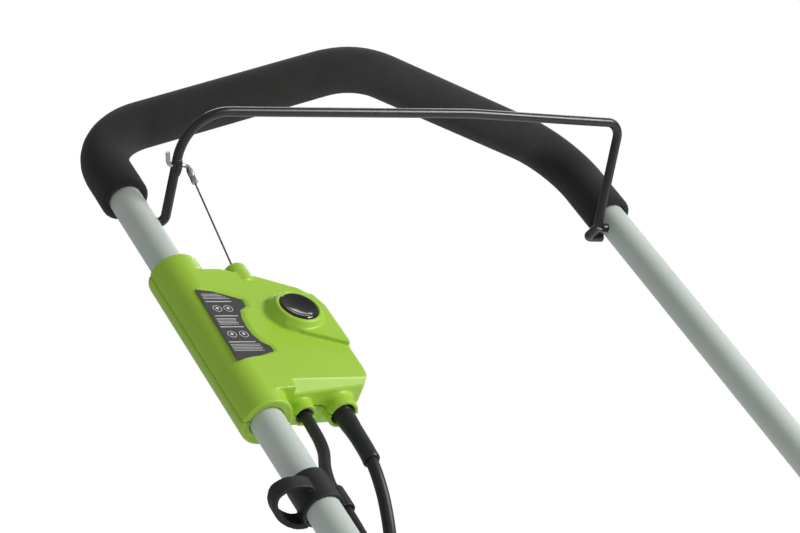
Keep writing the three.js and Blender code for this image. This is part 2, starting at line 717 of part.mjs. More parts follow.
// A collar round a tube with a tapering fin that holds the motor lead; `hook` adds the outer loop.
function cordClip(v, hook) {
  const outer = TUBE_RADIUS + 2.8;
  const low = v - CLIP_LENGTH / 2;
  const high = v + CLIP_LENGTH / 2;
  const pieces = [
    bar('y', outer, low, high, 0, 0, 16),
    bar('y', LEAD_RADIUS + 2.2, low, high - 8, leadBeside, LEAD_SINK, 20),
  ];
  if (hook) {
    const band = plate([
      [-16, 12.5], [-30, 15], [-41, 12.5], [-46.5, 4], [-47, -4], [-42, -12], [-32, -18],
      [-18, -20], [-6, -17], [-8, -12], [-20, -15.5], [-31, -13.5], [-38, -8.5], [-42, -2],
      [-41.5, 3], [-37, 8], [-29, 10.5], [-16, 8.5],
    ], -5, 5);
    pieces.push(band.rotateX(Math.PI / 2).translate(0, v, 0));
  }
  const tube = bar('y', TUBE_RADIUS + GAP, v - 40, v + 40, 0, 0, 16);
  const leadHole = bar('y', LEAD_RADIUS + 2 * GAP, v - 40, v + 40, leadBeside, LEAD_SINK, 16);
  const split = block(TUBE_RADIUS + 2, v - 40, LEAD_SINK - 14, TUBE_RADIUS + 8, v + 40, LEAD_SINK - 3);
  return cut(join(...pieces), tube, leadHole, split);
}

const upperClip = add(handle, 'cord_clip_upper', cordClip(CLIP_V, true), blackPlastic);
upperClip.position.x = -HALF_SPAN;
const lowerClip = add(handle, 'cord_clip_lower', cordClip(LOWER_CLIP_V, false), blackPlastic);
lowerClip.position.x = -lowerX;

// ---------------------------------------------------------------- lower handle and fold joints

const footV = -handleDrop;
const footBoltV = footV + 22;

function lowerHandleTube() {
  const tube = sweep(route([
    [lowerX, -FOLD_DROP + TUBE_TAIL, 0],
    [lowerX, footV + 190, 0, 60],
    [HALF_SPAN, footV + 110, 0, 60],
    [HALF_SPAN, footV, 0],
  ], 25), TUBE_RADIUS, TUBE_RADIUS - TUBE_WALL, 16);
  return cut(
    tube,
    bar('x', BOLT_RADIUS + GAP, lowerX - 20, lowerX + 20, -FOLD_DROP, 0),
    bar('x', BOLT_RADIUS + GAP, HALF_SPAN - 20, HALF_SPAN + 20, footBoltV, 0),
  );
}

function foldBolt() {
  const head = bar('x', 7.5, lowerX - TUBE_RADIUS - 6, lowerX - TUBE_RADIUS - GAP, 0, 0, 6);
  const shank = bar('x', BOLT_RADIUS, lowerX - TUBE_RADIUS - 3, HALF_SPAN + TUBE_RADIUS + 14, 0, 0, 16);
  return toGeometry(join(head, shank)).translate(0, -FOLD_DROP, 0);
}

// A knob with three wings, turned on the bolt's end.
function foldKnob() {
  const x0 = HALF_SPAN + TUBE_RADIUS + GAP;
  const hub = bar('x', 11, x0, x0 + 20, 0, 0, 24);
  const wings = [0, 1, 2].map((k) => {
    const wing = block(x0 + 3, 6, -4.5, x0 + 17, 24, 4.5);
    return wing.rotateX((2 * Math.PI * k) / 3);
  });
  const hole = bar('x', BOLT_RADIUS + GAP, x0 - 5, x0 + 15, 0, 0, 16);
  return toGeometry(cut(join(hub, ...wings), hole)).translate(0, -FOLD_DROP, 0);
}

function footBolt() {
  const x0 = plateX - 5.5;
  const x1 = HALF_SPAN + TUBE_RADIUS;
  const nut = bar('x', 6.5, x0, plateX - GAP, 0, 0, 6);
  const shank = bar('x', BOLT_RADIUS, x0, x1 + 4, 0, 0, 16);
  const head = bar('x', 6.8, x1 + GAP, x1 + 4.5, 0, 0, 20);
  return toGeometry(join(nut, shank, head)).translate(0, footBoltV, 0);
}

for (const [side, name] of [[-1, 'left'], [1, 'right']]) {
  const put = (shape) => (side > 0 ? shape : mirrorX(shape));
  add(handle, `lower_handle_${name}`, put(lowerHandleTube()), tubePaint);
  add(handle, `fold_bolt_${name}`, put(foldBolt()), steel);
  add(handle, `fold_knob_${name}`, put(foldKnob()), blackPlastic);
  add(handle, `foot_bolt_${name}`, put(footBolt()), steel);
}

// ---------------------------------------------------------------- chassis

const footPlace = fromHandle(0, footBoltV, 0);
const roofFront = REEL_Y - REEL_RADIUS - HOOD_ROOM;
const roofTop = motorZ + MOTOR_RADIUS + HOOD_ROOM;
const roofRear = motorY + MOTOR_RADIUS + HOOD_ROOM + 26;
const reelTop = reelZ + REEL_RADIUS;
const roofOutline = [
  [roofFront - 2, reelZ + 17], [roofFront - 2, reelTop - 9], [roofFront + 14, reelTop + 25],
  [REEL_Y - 22, reelTop + 53], [REEL_Y + 30, roofTop - 4], [motorY + 10, roofTop],
  [motorY + 46, roofTop - 13], [roofRear - 7, roofTop - 38], [roofRear, roofTop - 73],
  [roofRear + 1, reelZ + 31],
];

// Outer curve of the hood, sampled along its roof outline.
function roofCurve(count, depth) {
  const curve = new THREE.SplineCurve(roofOutline.map(([y, z]) => new THREE.Vector2(y, z)));
  const points = [];
  for (let i = 0; i <= count; i++) {
    const p = curve.getPointAt(i / count);
    const t = curve.getTangentAt(i / count);
    points.push([p.x + t.y * depth, p.y - t.x * depth]);
  }
  return points;
}

function hood() {
  const outline = [...roofCurve(18, 0), ...roofCurve(18, 3.2).reverse()];
  const shell = sidePlate(outline, -plateX + 0.5, plateX - 0.5);
  const port = bar('y', LEAD_RADIUS + 2, roofRear - 44, roofRear + 56, PORT_X, PORT_Z, 16);
  const slots = [];
  for (let k = 0; k < 7; k++) {
    slots.push(block(30 + k * 14, motorY - 20, roofTop - 18, 36 + k * 14, motorY + 32, roofTop + 17));
  }
  return cut(shell, port, ...slots);
}

function sidePlateSolid() {
  const slotLow = ROLLER_RADIUS - ROLLER_AXLE - ROLLER_TRAVEL - GAP;
  const outline = [
    [REEL_Y - 10, 20], [REEL_Y - 50, 40], [roofFront - 5, reelZ + 9], [roofFront - 6, reelTop - 7],
    [roofFront + 11, reelTop + 28], [REEL_Y - 24, reelTop + 57], [REEL_Y + 29, roofTop + 0.5],
    [motorY + 11, roofTop + 4.5], [motorY + 57, roofTop - 7], [footPlace.y - 1, footPlace.z + 24],
    [footPlace.y + 33, footPlace.z + 11], [footPlace.y + 33, footPlace.z - 45],
    [ROLLER_Y + 21, ROLLER_RADIUS + 42],
    [ROLLER_Y + 25, ROLLER_RADIUS - 8], [ROLLER_Y + 13, slotLow - 7], [ROLLER_Y - 13, slotLow - 7],
    [ROLLER_Y - 35, ROLLER_RADIUS + 2], [WHEEL_Y + 5, 60], [REEL_Y + 60, 22],
  ];
  const slot = block(
    plateX - 5, ROLLER_Y - ROLLER_AXLE - GAP, slotLow,
    plateOut + 5, ROLLER_Y + ROLLER_AXLE + GAP, ROLLER_RADIUS + ROLLER_AXLE + GAP,
  );
  return cut(
    sidePlate(outline, plateX, plateOut),
    bar('x', 15 + GAP, plateX - 5, plateOut + 5, REEL_Y, reelZ, 20),
    bar('x', AXLE_RADIUS + GAP, plateX - 5, plateOut + 5, WHEEL_Y, WHEEL_RADIUS, 20),
    bar('x', BOLT_RADIUS + GAP, plateX - 5, plateOut + 5, footPlace.y, footPlace.z, 16),
    bar('x', 9, plateX - 5, plateOut + 5, motorY, motorZ, 24),
    slot,
  );
}

for (const [side, name] of [[-1, 'left'], [1, 'right']]) {
  const solid = sidePlateSolid();
  add(mower, `side_plate_${name}`, side > 0 ? solid : mirrorX(solid), darkSteel);
}
add(mower, 'hood', hood(), green);
add(mower, 'tie_bar', bar('x', 9, -plateX + GAP, plateX - GAP, 110, 78, 20), darkSteel);

// ---------------------------------------------------------------- reel and bed knife

const reel = new THREE.Group();
reel.position.set(0, REEL_Y, reelZ);
mower.add(reel);
const bladeHalf = plateX - 12;
const spiderPlaces = [-bladeHalf + 43, 0, bladeHalf - 43];
const bladeFoot = REEL_RADIUS - BLADE_DEPTH;

// Helix angle of a blade at a place along the shaft.
function bladeAngle(x, index) {
  const twist = (THREE.MathUtils.degToRad(BLADE_TWIST) * x) / (2 * bladeHalf);
  return twist + (2 * Math.PI * index) / BLADE_COUNT;
}

function reelBlade(index) {
  const g = new THREE.BoxGeometry(2 * bladeHalf, BLADE_DEPTH, BLADE_THICK, 24, 1, 1);
  g.translate(0, bladeFoot + BLADE_DEPTH / 2, 0);
  const position = g.attributes.position;
  const p = new THREE.Vector3();
  for (let i = 0; i < position.count; i++) {
    p.fromBufferAttribute(position, i);
    p.applyAxisAngle(new THREE.Vector3(1, 0, 0), bladeAngle(p.x, index));
    position.setXYZ(i, p.x, p.y, p.z);
  }
  return g;
}

function reelSpider(x) {
  const disc = bar('x', 24, x - 2, x + 2, 0, 0, 15);
  const arms = [];
  for (let k = 0; k < BLADE_COUNT; k++) {
    const arm = block(x - 2, 10, -7, x + 2, bladeFoot - GAP - 0.6, 7);
    arms.push(arm.rotateX(bladeAngle(x, k)));
  }
  const hub = bar('x', 12, x - 7, x + 7, 0, 0, 12);
  return cut(join(disc, hub, ...arms), bar('x', SHAFT_RADIUS + GAP, x - 20, x + 20, 0, 0, 12));
}

const driveX = -(plateOut + 4); // inner face of the belt drive, on the left

add(reel, 'reel_shaft', bar('x', SHAFT_RADIUS, driveX - 14, plateX + 6, 0, 0, 12), steel);
spiderPlaces.forEach((x, i) => add(reel, `reel_spider_${i + 1}`, reelSpider(x), darkSteel));
for (let k = 0; k < BLADE_COUNT; k++) add(reel, `reel_blade_${k + 1}`, reelBlade(k), steel);

function bearing() {
  return turned('x', [
    [SHAFT_RADIUS + GAP, plateX - 5], [15, plateX - 5], [15, plateOut + 1],
    [SHAFT_RADIUS + GAP, plateOut + 1], [SHAFT_RADIUS + GAP, plateX - 5],
  ], 20);
}
add(reel, 'reel_bearing_right', bearing(), steel);
add(reel, 'reel_bearing_left', mirrorX(bearing()), steel);

const knifeTop = reelZ - Math.sqrt((REEL_RADIUS + 0.6) ** 2 - KNIFE_OFFSET ** 2);
add(mower, 'bed_knife', block(
  -plateX + 6, REEL_Y + KNIFE_OFFSET, knifeTop - 3, plateX - 6, REEL_Y + 52, knifeTop,
), steel);
add(mower, 'bed_bar', join(
  block(-plateX + GAP, REEL_Y + 26, knifeTop - 11, plateX - GAP, REEL_Y + 58, knifeTop - 3 - GAP),
  block(-plateX + GAP, REEL_Y + 54, knifeTop - 11, plateX - GAP, REEL_Y + 58, knifeTop + 22),
), darkSteel);

// ---------------------------------------------------------------- motor and belt drive

const motorEnd = -plateX + GAP;
const beltAngle = Math.atan2(motorZ - reelZ, motorY - REEL_Y);
const beltSpan = Math.hypot(motorZ - reelZ, motorY - REEL_Y);

// Outline round both pulleys at a clearance, in (y, z).
function beltOutline(extra, steps = 12) {
  const lean = Math.asin((PULLEY_REEL - PULLEY_DRIVE) / beltSpan);
  const points = [];
  const arc = (cy, cz, r, from, to) => {
    for (let i = 0; i <= steps; i++) {
      const a = from + ((to - from) * i) / steps;
      points.push([cy + r * Math.cos(a), cz + r * Math.sin(a)]);
    }
  };
  const half = Math.PI / 2 - lean;
  arc(motorY, motorZ, PULLEY_DRIVE + extra, beltAngle - half, beltAngle + half);
  arc(REEL_Y, reelZ, PULLEY_REEL + extra, beltAngle + half, beltAngle + 2 * Math.PI - half);
  return points;
}

function motor() {
  const body = turned('x', [
    [0, 0], [MOTOR_RADIUS - 6, 0], [MOTOR_RADIUS, 6], [MOTOR_RADIUS, MOTOR_LENGTH - 8],
    [MOTOR_RADIUS - 8, MOTOR_LENGTH], [0, MOTOR_LENGTH],
  ], 20);
  const boss = bar('x', 8.6, -PLATE_THICK, 2, 0, 0, 20);
  const seat = join(body, boss);
  const bore = bar('x', MOTOR_SHAFT + GAP, -10, 30, 0, 0, 16);
  return toGeometry(cut(seat, bore)).translate(motorEnd, motorY, motorZ);
}

function pulley(radius, bore, x) {
  const low = -BELT_WIDTH - 3;
  return turned('x', [
    [bore, low], [radius + 3, low], [radius + 3, low + 2], [radius, low + 2],
    [radius, 0], [radius + 3, 0], [radius + 3, 2], [bore, 2], [bore, low],
  ], 20).translate(x, 0, 0);
}

add(mower, 'motor', motor(), darkSteel);
const motorPulley = add(mower, 'motor_pulley', join(
  pulley(PULLEY_DRIVE, 0, driveX - 2),
  bar('x', MOTOR_SHAFT, driveX - 2, motorEnd + 24, 0, 0, 16),
), steel);
motorPulley.position.set(0, motorY, motorZ);
add(reel, 'reel_pulley', pulley(PULLEY_REEL, SHAFT_RADIUS + GAP, driveX - 2), blackPlastic);

function driveBelt() {
  const outline = beltOutline(BELT_EASE + BELT_THICK);
  const belt = sidePlate(outline, driveX - 2 - BELT_WIDTH, driveX - 3);
  return cut(belt, sidePlate(beltOutline(BELT_EASE), driveX - 40, driveX + 20));
}

// Cover over the belt: a shallow pan outside the left side plate.
function beltCover() {
  const back = -plateOut - GAP;
  const face = driveX - BELT_WIDTH - 10;
  const shell = sidePlate(beltOutline(12), face, back);
  const hollow = sidePlate(beltOutline(9.5), face + 2.5, back + 20);
  return cut(shell, hollow);
}

add(mower, 'drive_belt', driveBelt(), blackRubber);
add(mower, 'belt_cover', beltCover(), green);

// ---------------------------------------------------------------- wheels

// Rolling surfaces have their flats on the true radius, and one flat faces the ground.
const TREAD_SIDES = 24;
const halfFlat = Math.PI / TREAD_SIDES;
const toCorner = 1 / Math.cos(halfFlat);

function wheelAxle() {
  return turned('x', [
    [0, plateX - 8], [AXLE_RADIUS, plateX - 8], [AXLE_RADIUS, plateOut + GAP], [10, plateOut + GAP],
    [10, wheelX - 1], [AXLE_RADIUS, wheelX - 1], [AXLE_RADIUS, wheelX + WHEEL_WIDTH + 3],
    [0, wheelX + WHEEL_WIDTH + 3],
  ], 20).translate(0, WHEEL_Y, WHEEL_RADIUS);
}

function wheelDisc() {
  const inner = wheelX;
  const outer = wheelX + WHEEL_WIDTH;
  const rim = WHEEL_RADIUS - 12;
  const profile = [
    [AXLE_RADIUS + GAP, inner], [17, inner], [17, inner + 12], [rim - 8, inner + 14], [rim - 8, inner + 2],
    [rim, inner + 2], [rim, outer - 2], [rim - 6, outer - 2], [rim - 8, outer - 12], [22, outer - 14],
    [19, outer + 4], [AXLE_RADIUS + GAP, outer + 4], [AXLE_RADIUS + GAP, inner],
  ];
  const holes = [];
  for (let k = 0; k < WHEEL_HOLES; k++) {
    const a = (2 * Math.PI * k) / WHEEL_HOLES;
    holes.push(bar('x', 14, inner - 10, outer + 10, 52 * Math.cos(a), 52 * Math.sin(a), 8));
  }
  const disc = toGeometry(cut(turned('x', profile, TREAD_SIDES), ...holes));
  return disc.rotateX(halfFlat).translate(0, WHEEL_Y, WHEEL_RADIUS);
}

function tyre() {
  const inner = wheelX;
  const outer = wheelX + WHEEL_WIDTH;
  const bead = WHEEL_RADIUS - 12 + GAP;
  const tread = WHEEL_RADIUS * toCorner;
  return turned('x', [
    [bead, inner], [tread - 5, inner], [tread, inner + 6], [tread, outer - 6],
    [tread - 5, outer], [bead, outer], [bead, inner],
  ], TREAD_SIDES).rotateX(halfFlat).translate(0, WHEEL_Y, WHEEL_RADIUS);
}

for (const [side, name] of [[-1, 'left'], [1, 'right']]) {
  const put = (shape) => (side > 0 ? shape : mirrorX(shape));
  add(mower, `wheel_axle_${name}`, put(wheelAxle()), steel);
  add(mower, `wheel_${name}`, put(wheelDisc()), blackPlastic);
  add(mower, `tyre_${name}`, put(tyre()), blackRubber);
}

// ---------------------------------------------------------------- rear roller

function rollerAxle() {
  const rod = bar('x', ROLLER_AXLE, -plateOut - 8, plateOut + 8, 0, 0, 12);
  const nuts = [-1, 1].map((side) => bar('x', 11, side * (plateOut + GAP), side * (plateOut + 9), 0, 0, 12));
  const collars = [-1, 1].map((side) => bar('x', 11, side * (rollerHalf + 4), side * (plateX - GAP), 0, 0, 12));
  return toGeometry(join(rod, ...nuts, ...collars)).translate(0, ROLLER_Y, ROLLER_RADIUS);
}

function rearRoller() {
  const bore = ROLLER_AXLE + GAP;
  const tread = ROLLER_RADIUS * toCorner;
  return turned('x', [
    [bore, -rollerHalf], [tread - 2, -rollerHalf], [tread, -rollerHalf + 2],
    [tread, rollerHalf - 2], [tread - 2, rollerHalf], [bore, rollerHalf], [bore, -rollerHalf],
  ], TREAD_SIDES).rotateX(halfFlat).translate(0, ROLLER_Y, ROLLER_RADIUS);
}

add(mower, 'roller_axle', rollerAxle(), steel);
add(mower, 'rear_roller', rearRoller(), blackPlastic);

// ---------------------------------------------------------------- origin: bottom centre of the box

const onCord = ['mains_cord', 'mains_plug', 'mains_strain_relief'];
mower.updateMatrixWorld(true);
const bounds = new THREE.Box3();
mower.traverse((node) => {
  if (node.isMesh && !onCord.includes(node.name)) bounds.expandByObject(node, true);
});
const middle = bounds.getCenter(new THREE.Vector3());
mower.position.set(-middle.x, -middle.y, -bounds.min.z);
mower.updateMatrixWorld(true);

export default mower;
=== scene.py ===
# %% [markdown]
# A corded electric reel mower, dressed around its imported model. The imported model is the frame: it says
# where every part is and which pieces move together. Nothing in it is moved here. New, finer pieces stand
# in for its plain solids, and each rides on the body that its solid belongs to. The two bearings are the
# exception: they turn with the reel, which doesn't show on a round piece.

# %% Load the frame
import json
import math

import bmesh
import bpy
from mathutils import Matrix, Vector


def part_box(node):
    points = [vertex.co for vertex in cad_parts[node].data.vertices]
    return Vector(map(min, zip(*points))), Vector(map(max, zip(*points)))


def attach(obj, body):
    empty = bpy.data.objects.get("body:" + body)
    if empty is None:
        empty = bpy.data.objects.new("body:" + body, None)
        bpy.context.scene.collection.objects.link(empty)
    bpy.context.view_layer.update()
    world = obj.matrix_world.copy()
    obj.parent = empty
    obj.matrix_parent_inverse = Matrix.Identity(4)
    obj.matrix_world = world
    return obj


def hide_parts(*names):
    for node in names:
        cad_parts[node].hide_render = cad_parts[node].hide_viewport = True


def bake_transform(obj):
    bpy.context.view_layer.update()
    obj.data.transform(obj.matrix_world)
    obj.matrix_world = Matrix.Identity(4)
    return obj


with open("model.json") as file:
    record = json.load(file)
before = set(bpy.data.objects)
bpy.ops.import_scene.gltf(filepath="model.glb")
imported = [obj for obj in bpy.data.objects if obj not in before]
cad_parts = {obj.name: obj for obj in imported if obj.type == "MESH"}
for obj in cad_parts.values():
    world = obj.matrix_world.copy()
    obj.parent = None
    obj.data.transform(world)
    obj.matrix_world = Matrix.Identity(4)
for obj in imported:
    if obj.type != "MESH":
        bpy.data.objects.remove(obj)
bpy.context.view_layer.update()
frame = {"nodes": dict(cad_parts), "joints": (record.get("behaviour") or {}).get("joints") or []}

# %% [markdown]
# The handle leans, so its pieces are easiest to describe in a frame of their own: X across, Y up the tubes
# and Z square to them, in millimetres from the line of the bail's two pivots. One matrix takes such a point
# to the mower. The switch box has the same frame moved onto the left tube, and the bail has it turned.

# %% The handle's own frames
MM = 0.001
joints = {j["name"]: j for j in frame["joints"]}
PIVOT = Vector(joints["bail_hinge"]["pos_m"])
FOLD = Vector(joints["handle_fold"]["pos_m"])
TUBE = 12.5  # radius of the handle tubes
TUBE_WALL = 1.5
HALF_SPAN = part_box("upper_handle_tube")[1].x / MM - TUBE
FOLD_V = -(PIVOT - FOLD).length / MM
BAIL_ANGLE = 73  # from the plane of the tubes, in degrees
WHEEL = (55, 105)  # wheel axle, y and z in the chassis's millimetres

up = (PIVOT - FOLD).normalized()
across = Vector((1, 0, 0))
HANDLE = Matrix.Translation(PIVOT) @ Matrix((across, up, across.cross(up))).transposed().to_4x4()
HANDLE = HANDLE @ Matrix.Scale(MM, 4)
BOX = HANDLE @ Matrix.Translation((-HALF_SPAN, 0, 0))
BAIL = HANDLE @ Matrix.Rotation(math.radians(BAIL_ANGLE), 4, "X")
ROW = Matrix.Translation((0, joints["left_wheel_spin"]["pos_m"][1] - WHEEL[0] * MM, 0)) @ Matrix.Scale(MM, 4)
print("half span", round(HALF_SPAN, 1), "mm, fold at", round(FOLD_V), "mm")

# %% [markdown]
# The camera stands in front and to the left, level with the bail, with a long lens, as in a catalogue
# picture of the handle. Only the upper handle fits in its view.

# %% Camera
CAMERA_FROM_PIVOT = Vector((-1.2929, -1.9585, -0.0444))
CAMERA_AZIMUTH = math.radians(-33.59)
CAMERA_ELEVATION = math.radians(-0.30)
LENS_MM = 135
camera = bpy.data.objects.new("camera", bpy.data.cameras.new("camera"))
bpy.context.scene.collection.objects.link(camera)
camera.data.lens = LENS_MM
camera.location = PIVOT + CAMERA_FROM_PIVOT
flat = math.cos(CAMERA_ELEVATION)
back = Vector((math.sin(CAMERA_AZIMUTH) * flat, -math.cos(CAMERA_AZIMUTH) * flat, math.sin(CAMERA_ELEVATION)))
camera.rotation_euler = back.to_track_quat("Z", "Y").to_euler()
bpy.context.scene.camera = camera
print("camera at", [round(c, 3) for c in camera.location])

# %% [markdown]
# Studio: a white floor that runs out of sight, a bright plain sky and three large soft lights. The sky is
# white to the eye and dimmer as a light, so that the round tubes still show a light and a dark side.

# %% Studio
FLOOR_HALF = 30.0
WHITE = (1, 1, 1, 1)
scene = bpy.context.scene
scene.view_settings.view_transform = "Standard"


def plain_sky(seen, lit):
    world = bpy.data.worlds.new("studio")
    world.use_nodes = True
    scene.world = world
    nodes, links = world.node_tree.nodes, world.node_tree.links
    sky = nodes["Background"]
    sky.inputs["Strength"].default_value = lit
    bright = nodes.new("ShaderNodeBackground")
    bright.inputs["Color"].default_value = WHITE
    bright.inputs["Strength"].default_value = seen
    sky.inputs["Color"].default_value = WHITE
    mix, path = nodes.new("ShaderNodeMixShader"), nodes.new("ShaderNodeLightPath")
    links.new(path.outputs["Is Camera Ray"], mix.inputs["Fac"])
    links.new(sky.outputs[0], mix.inputs[1])
    links.new(bright.outputs[0], mix.inputs[2])
    links.new(mix.outputs[0], nodes["World Output"].inputs["Surface"])


def soft_light(name, place, aim, size, power):
    light = bpy.data.lights.new(name, "AREA")
    light.size = size
    light.energy = power
    lamp = bpy.data.objects.new(name, light)
    scene.collection.objects.link(lamp)
    lamp.location = place
    lamp.rotation_euler = (Vector(place) - Vector(aim)).to_track_quat("Z", "Y").to_euler()


plain_sky(1.0, 0.30)
soft_light("key", (1.9, -1.5, 2.3), (0, 0.2, 0.6), 1.3, 78)
soft_light("fill", (-2.4, -2.6, 1.4), (0, 0.1, 0.5), 2.0, 7)
soft_light("rim", (1.2, 2.2, 2.2), (0, 0.3, 0.7), 1.6, 20)

floor_mesh = bmesh.new()
bmesh.ops.create_grid(floor_mesh, x_segments=2, y_segments=2, size=FLOOR_HALF)
floor = bpy.data.objects.new("floor", bpy.data.meshes.new("floor"))
floor_mesh.to_mesh(floor.data)
floor_mesh.free()
scene.collection.objects.link(floor)
print("studio ready")

# %% [markdown]
# Every finish is built from four shared effects. Tone drifts a colour between two shades, as moulding and
# coating do. Patches does the same for roughness. Grain is the fine relief of a mould, a powder coat or a
# foam. Scuffs is a mask of fine marks. They all read object coordinates, which are the mower's own metres.


# %% Tools for the shared effects
def effect(name, inputs, outputs):
    """An empty node group with named sockets, and its input and output nodes."""
    group = bpy.data.node_groups.new(name, "ShaderNodeTree")
    for label, kind, value in inputs:
        socket = group.interface.new_socket(label, in_out="INPUT", socket_type=f"NodeSocket{kind}")
        socket.default_value = value
    for label, kind in outputs:
        group.interface.new_socket(label, in_out="OUTPUT", socket_type=f"NodeSocket{kind}")
    return group, group.nodes.new("NodeGroupInput"), group.nodes.new("NodeGroupOutput")


def noise(group, scale_from, detail, rough=0.55):
    """Noise on object coordinates, its scale read from a socket."""
    where = group.nodes.new("ShaderNodeTexCoord")
    texture = group.nodes.new("ShaderNodeTexNoise")
    texture.inputs["Detail"].default_value = detail
    texture.inputs["Roughness"].default_value = rough
    group.links.new(where.outputs["Object"], texture.inputs["Vector"])
    group.links.new(scale_from, texture.inputs["Scale"])
    return texture


def spread(group, source, low, high):
    """Stretches a noise value from low..high to 0..1."""
    node = group.nodes.new("ShaderNodeMapRange")
    node.inputs["From Min"].default_value = low
    node.inputs["From Max"].default_value = high
    group.links.new(source, node.inputs["Value"])
    return node.outputs["Result"]


def mixed(group, share, first, second):
    """The first colour where the share is 0, and the second where it is 1."""
    mix = group.nodes.new("ShaderNodeMix")
    mix.data_type = "RGBA"
    for label, source in (("Factor", share), ("A", first), ("B", second)):
        group.links.new(source, mix.inputs[label])
    return mix.outputs["Result"]


print("tools for effects ready")

# %% [markdown]
# Paint and moulded plastic are never quite one colour, and never evenly glossy. A painted picture could
# say so, but noise needs no picture and has no seams. Tone mixes two shades by it, and Patches does the
# same with two roughness values.


# %% Tone and patches
def tone_effect():
    group, given, out = effect(
        "Tone", [("Light", "Color", WHITE), ("Dark", "Color", WHITE), ("Scale", "Float", 20.0)],
        [("Color", "Color")],
    )
    mask = spread(group, noise(group, given.outputs["Scale"], 5).outputs["Fac"], 0.32, 0.68)
    group.links.new(mixed(group, mask, given.outputs["Dark"], given.outputs["Light"]), out.inputs["Color"])
    return group


def patches_effect():
    group, given, out = effect(
        "Patches", [("Low", "Float", 0.4), ("High", "Float", 0.5), ("Scale", "Float", 30.0)],
        [("Roughness", "Float")],
    )
    between = spread(group, noise(group, given.outputs["Scale"], 6).outputs["Fac"], 0.3, 0.7).node
    group.links.new(given.outputs["Low"], between.inputs["To Min"])
    group.links.new(given.outputs["High"], between.inputs["To Max"])
    group.links.new(between.outputs["Result"], out.inputs["Roughness"])
    return group


TONE, PATCHES = tone_effect(), patches_effect()
print("effects", TONE.name, PATCHES.name)

# %% [markdown]
# Grain is a bump, because the relief of a mould or of foam is far too fine to model. Scuffs stretches a
# warped, detailed noise hard, so that only its peaks are left, as thin marks.


# %% Grain and scuffs
def grain_effect():
    group, given, out = effect(
        "Grain", [("Scale", "Float", 900.0), ("Strength", "Float", 0.2), ("Depth", "Float", 0.0002)],
        [("Normal", "Vector")],
    )
    bump = group.nodes.new("ShaderNodeBump")
    group.links.new(noise(group, given.outputs["Scale"], 3).outputs["Fac"], bump.inputs["Height"])
    group.links.new(given.outputs["Strength"], bump.inputs["Strength"])
    group.links.new(given.outputs["Depth"], bump.inputs["Distance"])
    group.links.new(bump.outputs["Normal"], out.inputs["Normal"])
    return group


def scuffs_effect():
    group, given, out = effect(
        "Scuffs", [("Scale", "Float", 40.0), ("Amount", "Float", 0.5), ("Color", "Color", WHITE),
                   ("Mark", "Color", WHITE)],
        [("Color", "Color"), ("Mask", "Float")],
    )
    streaks = noise(group, given.outputs["Scale"], 9, 0.75)
    streaks.inputs["Distortion"].default_value = 1.6
    mask = spread(group, streaks.outputs["Fac"], 0.60, 0.72)
    share = group.nodes.new("ShaderNodeMath")
    share.operation = "MULTIPLY"
    share.use_clamp = True
    group.links.new(mask, share.inputs[0])
    group.links.new(given.outputs["Amount"], share.inputs[1])
    marked = mixed(group, share.outputs[0], given.outputs["Color"], given.outputs["Mark"])
    group.links.new(marked, out.inputs["Color"])
    group.links.new(share.outputs[0], out.inputs["Mask"])
    return group


GRAIN, SCUFFS = grain_effect(), scuffs_effect()
print("effects", GRAIN.name, SCUFFS.name)

# %% [markdown]
# A finish puts the effects in front of one Principled shader. Sizes such as coat and sheen that are the
# same all over are set on the shader itself.


# %% How a finish is put together
def linear(red, green, blue):
    """An sRGB colour, 0 to 255, as the shader's linear colour."""
    parts = [c / 255 for c in (red, green, blue)]
    return tuple(c / 12.92 if c <= 0.04045 else ((c + 0.055) / 1.055) ** 2.4 for c in parts) + (1.0,)


def place_effect(material, group, **values):
    node = material.node_tree.nodes.new("ShaderNodeGroup")
    node.node_tree = group
    for label, value in values.items():
        node.inputs[label].default_value = value
    return node


def finish(name, light, dark, rough, grain, tone_scale=14, scuffs=None, metallic=0.0, **shader):
    """A material from two shades, a roughness range and a grain of (scale, strength, depth)."""
    material = bpy.data.materials.new(name)
    material.use_nodes = True
    tree = material.node_tree
    principled = tree.nodes["Principled BSDF"]
    tone = place_effect(material, TONE, Light=linear(*light), Dark=linear(*dark), Scale=tone_scale)
    colour = tone.outputs["Color"]
    if scuffs:
        scale, amount, mark = scuffs
        marks = place_effect(material, SCUFFS, Scale=scale, Amount=amount, Mark=linear(*mark))
        tree.links.new(colour, marks.inputs["Color"])
        colour = marks.outputs["Color"]
    patches = place_effect(material, PATCHES, Low=rough[0], High=rough[1], Scale=tone_scale * 2.3)
    relief = place_effect(material, GRAIN, Scale=grain[0], Strength=grain[1], Depth=grain[2])
    tree.links.new(colour, principled.inputs["Base Color"])
    tree.links.new(patches.outputs["Roughness"], principled.inputs["Roughness"])
    tree.links.new(relief.outputs["Normal"], principled.inputs["Normal"])
    principled.inputs["Metallic"].default_value = metallic
    for label, value in shader.items():
        principled.inputs[label.replace("_", " ")].default_value = value
    return material


print("a finish is ready to be filled in")

# %% [markdown]
# The finishes themselves: powder coat on the tubes, spark-eroded green plastic, closed-cell foam, gloss
# black paint and plastic, cord jackets, zinc and ground steel, and dark painted pressings.

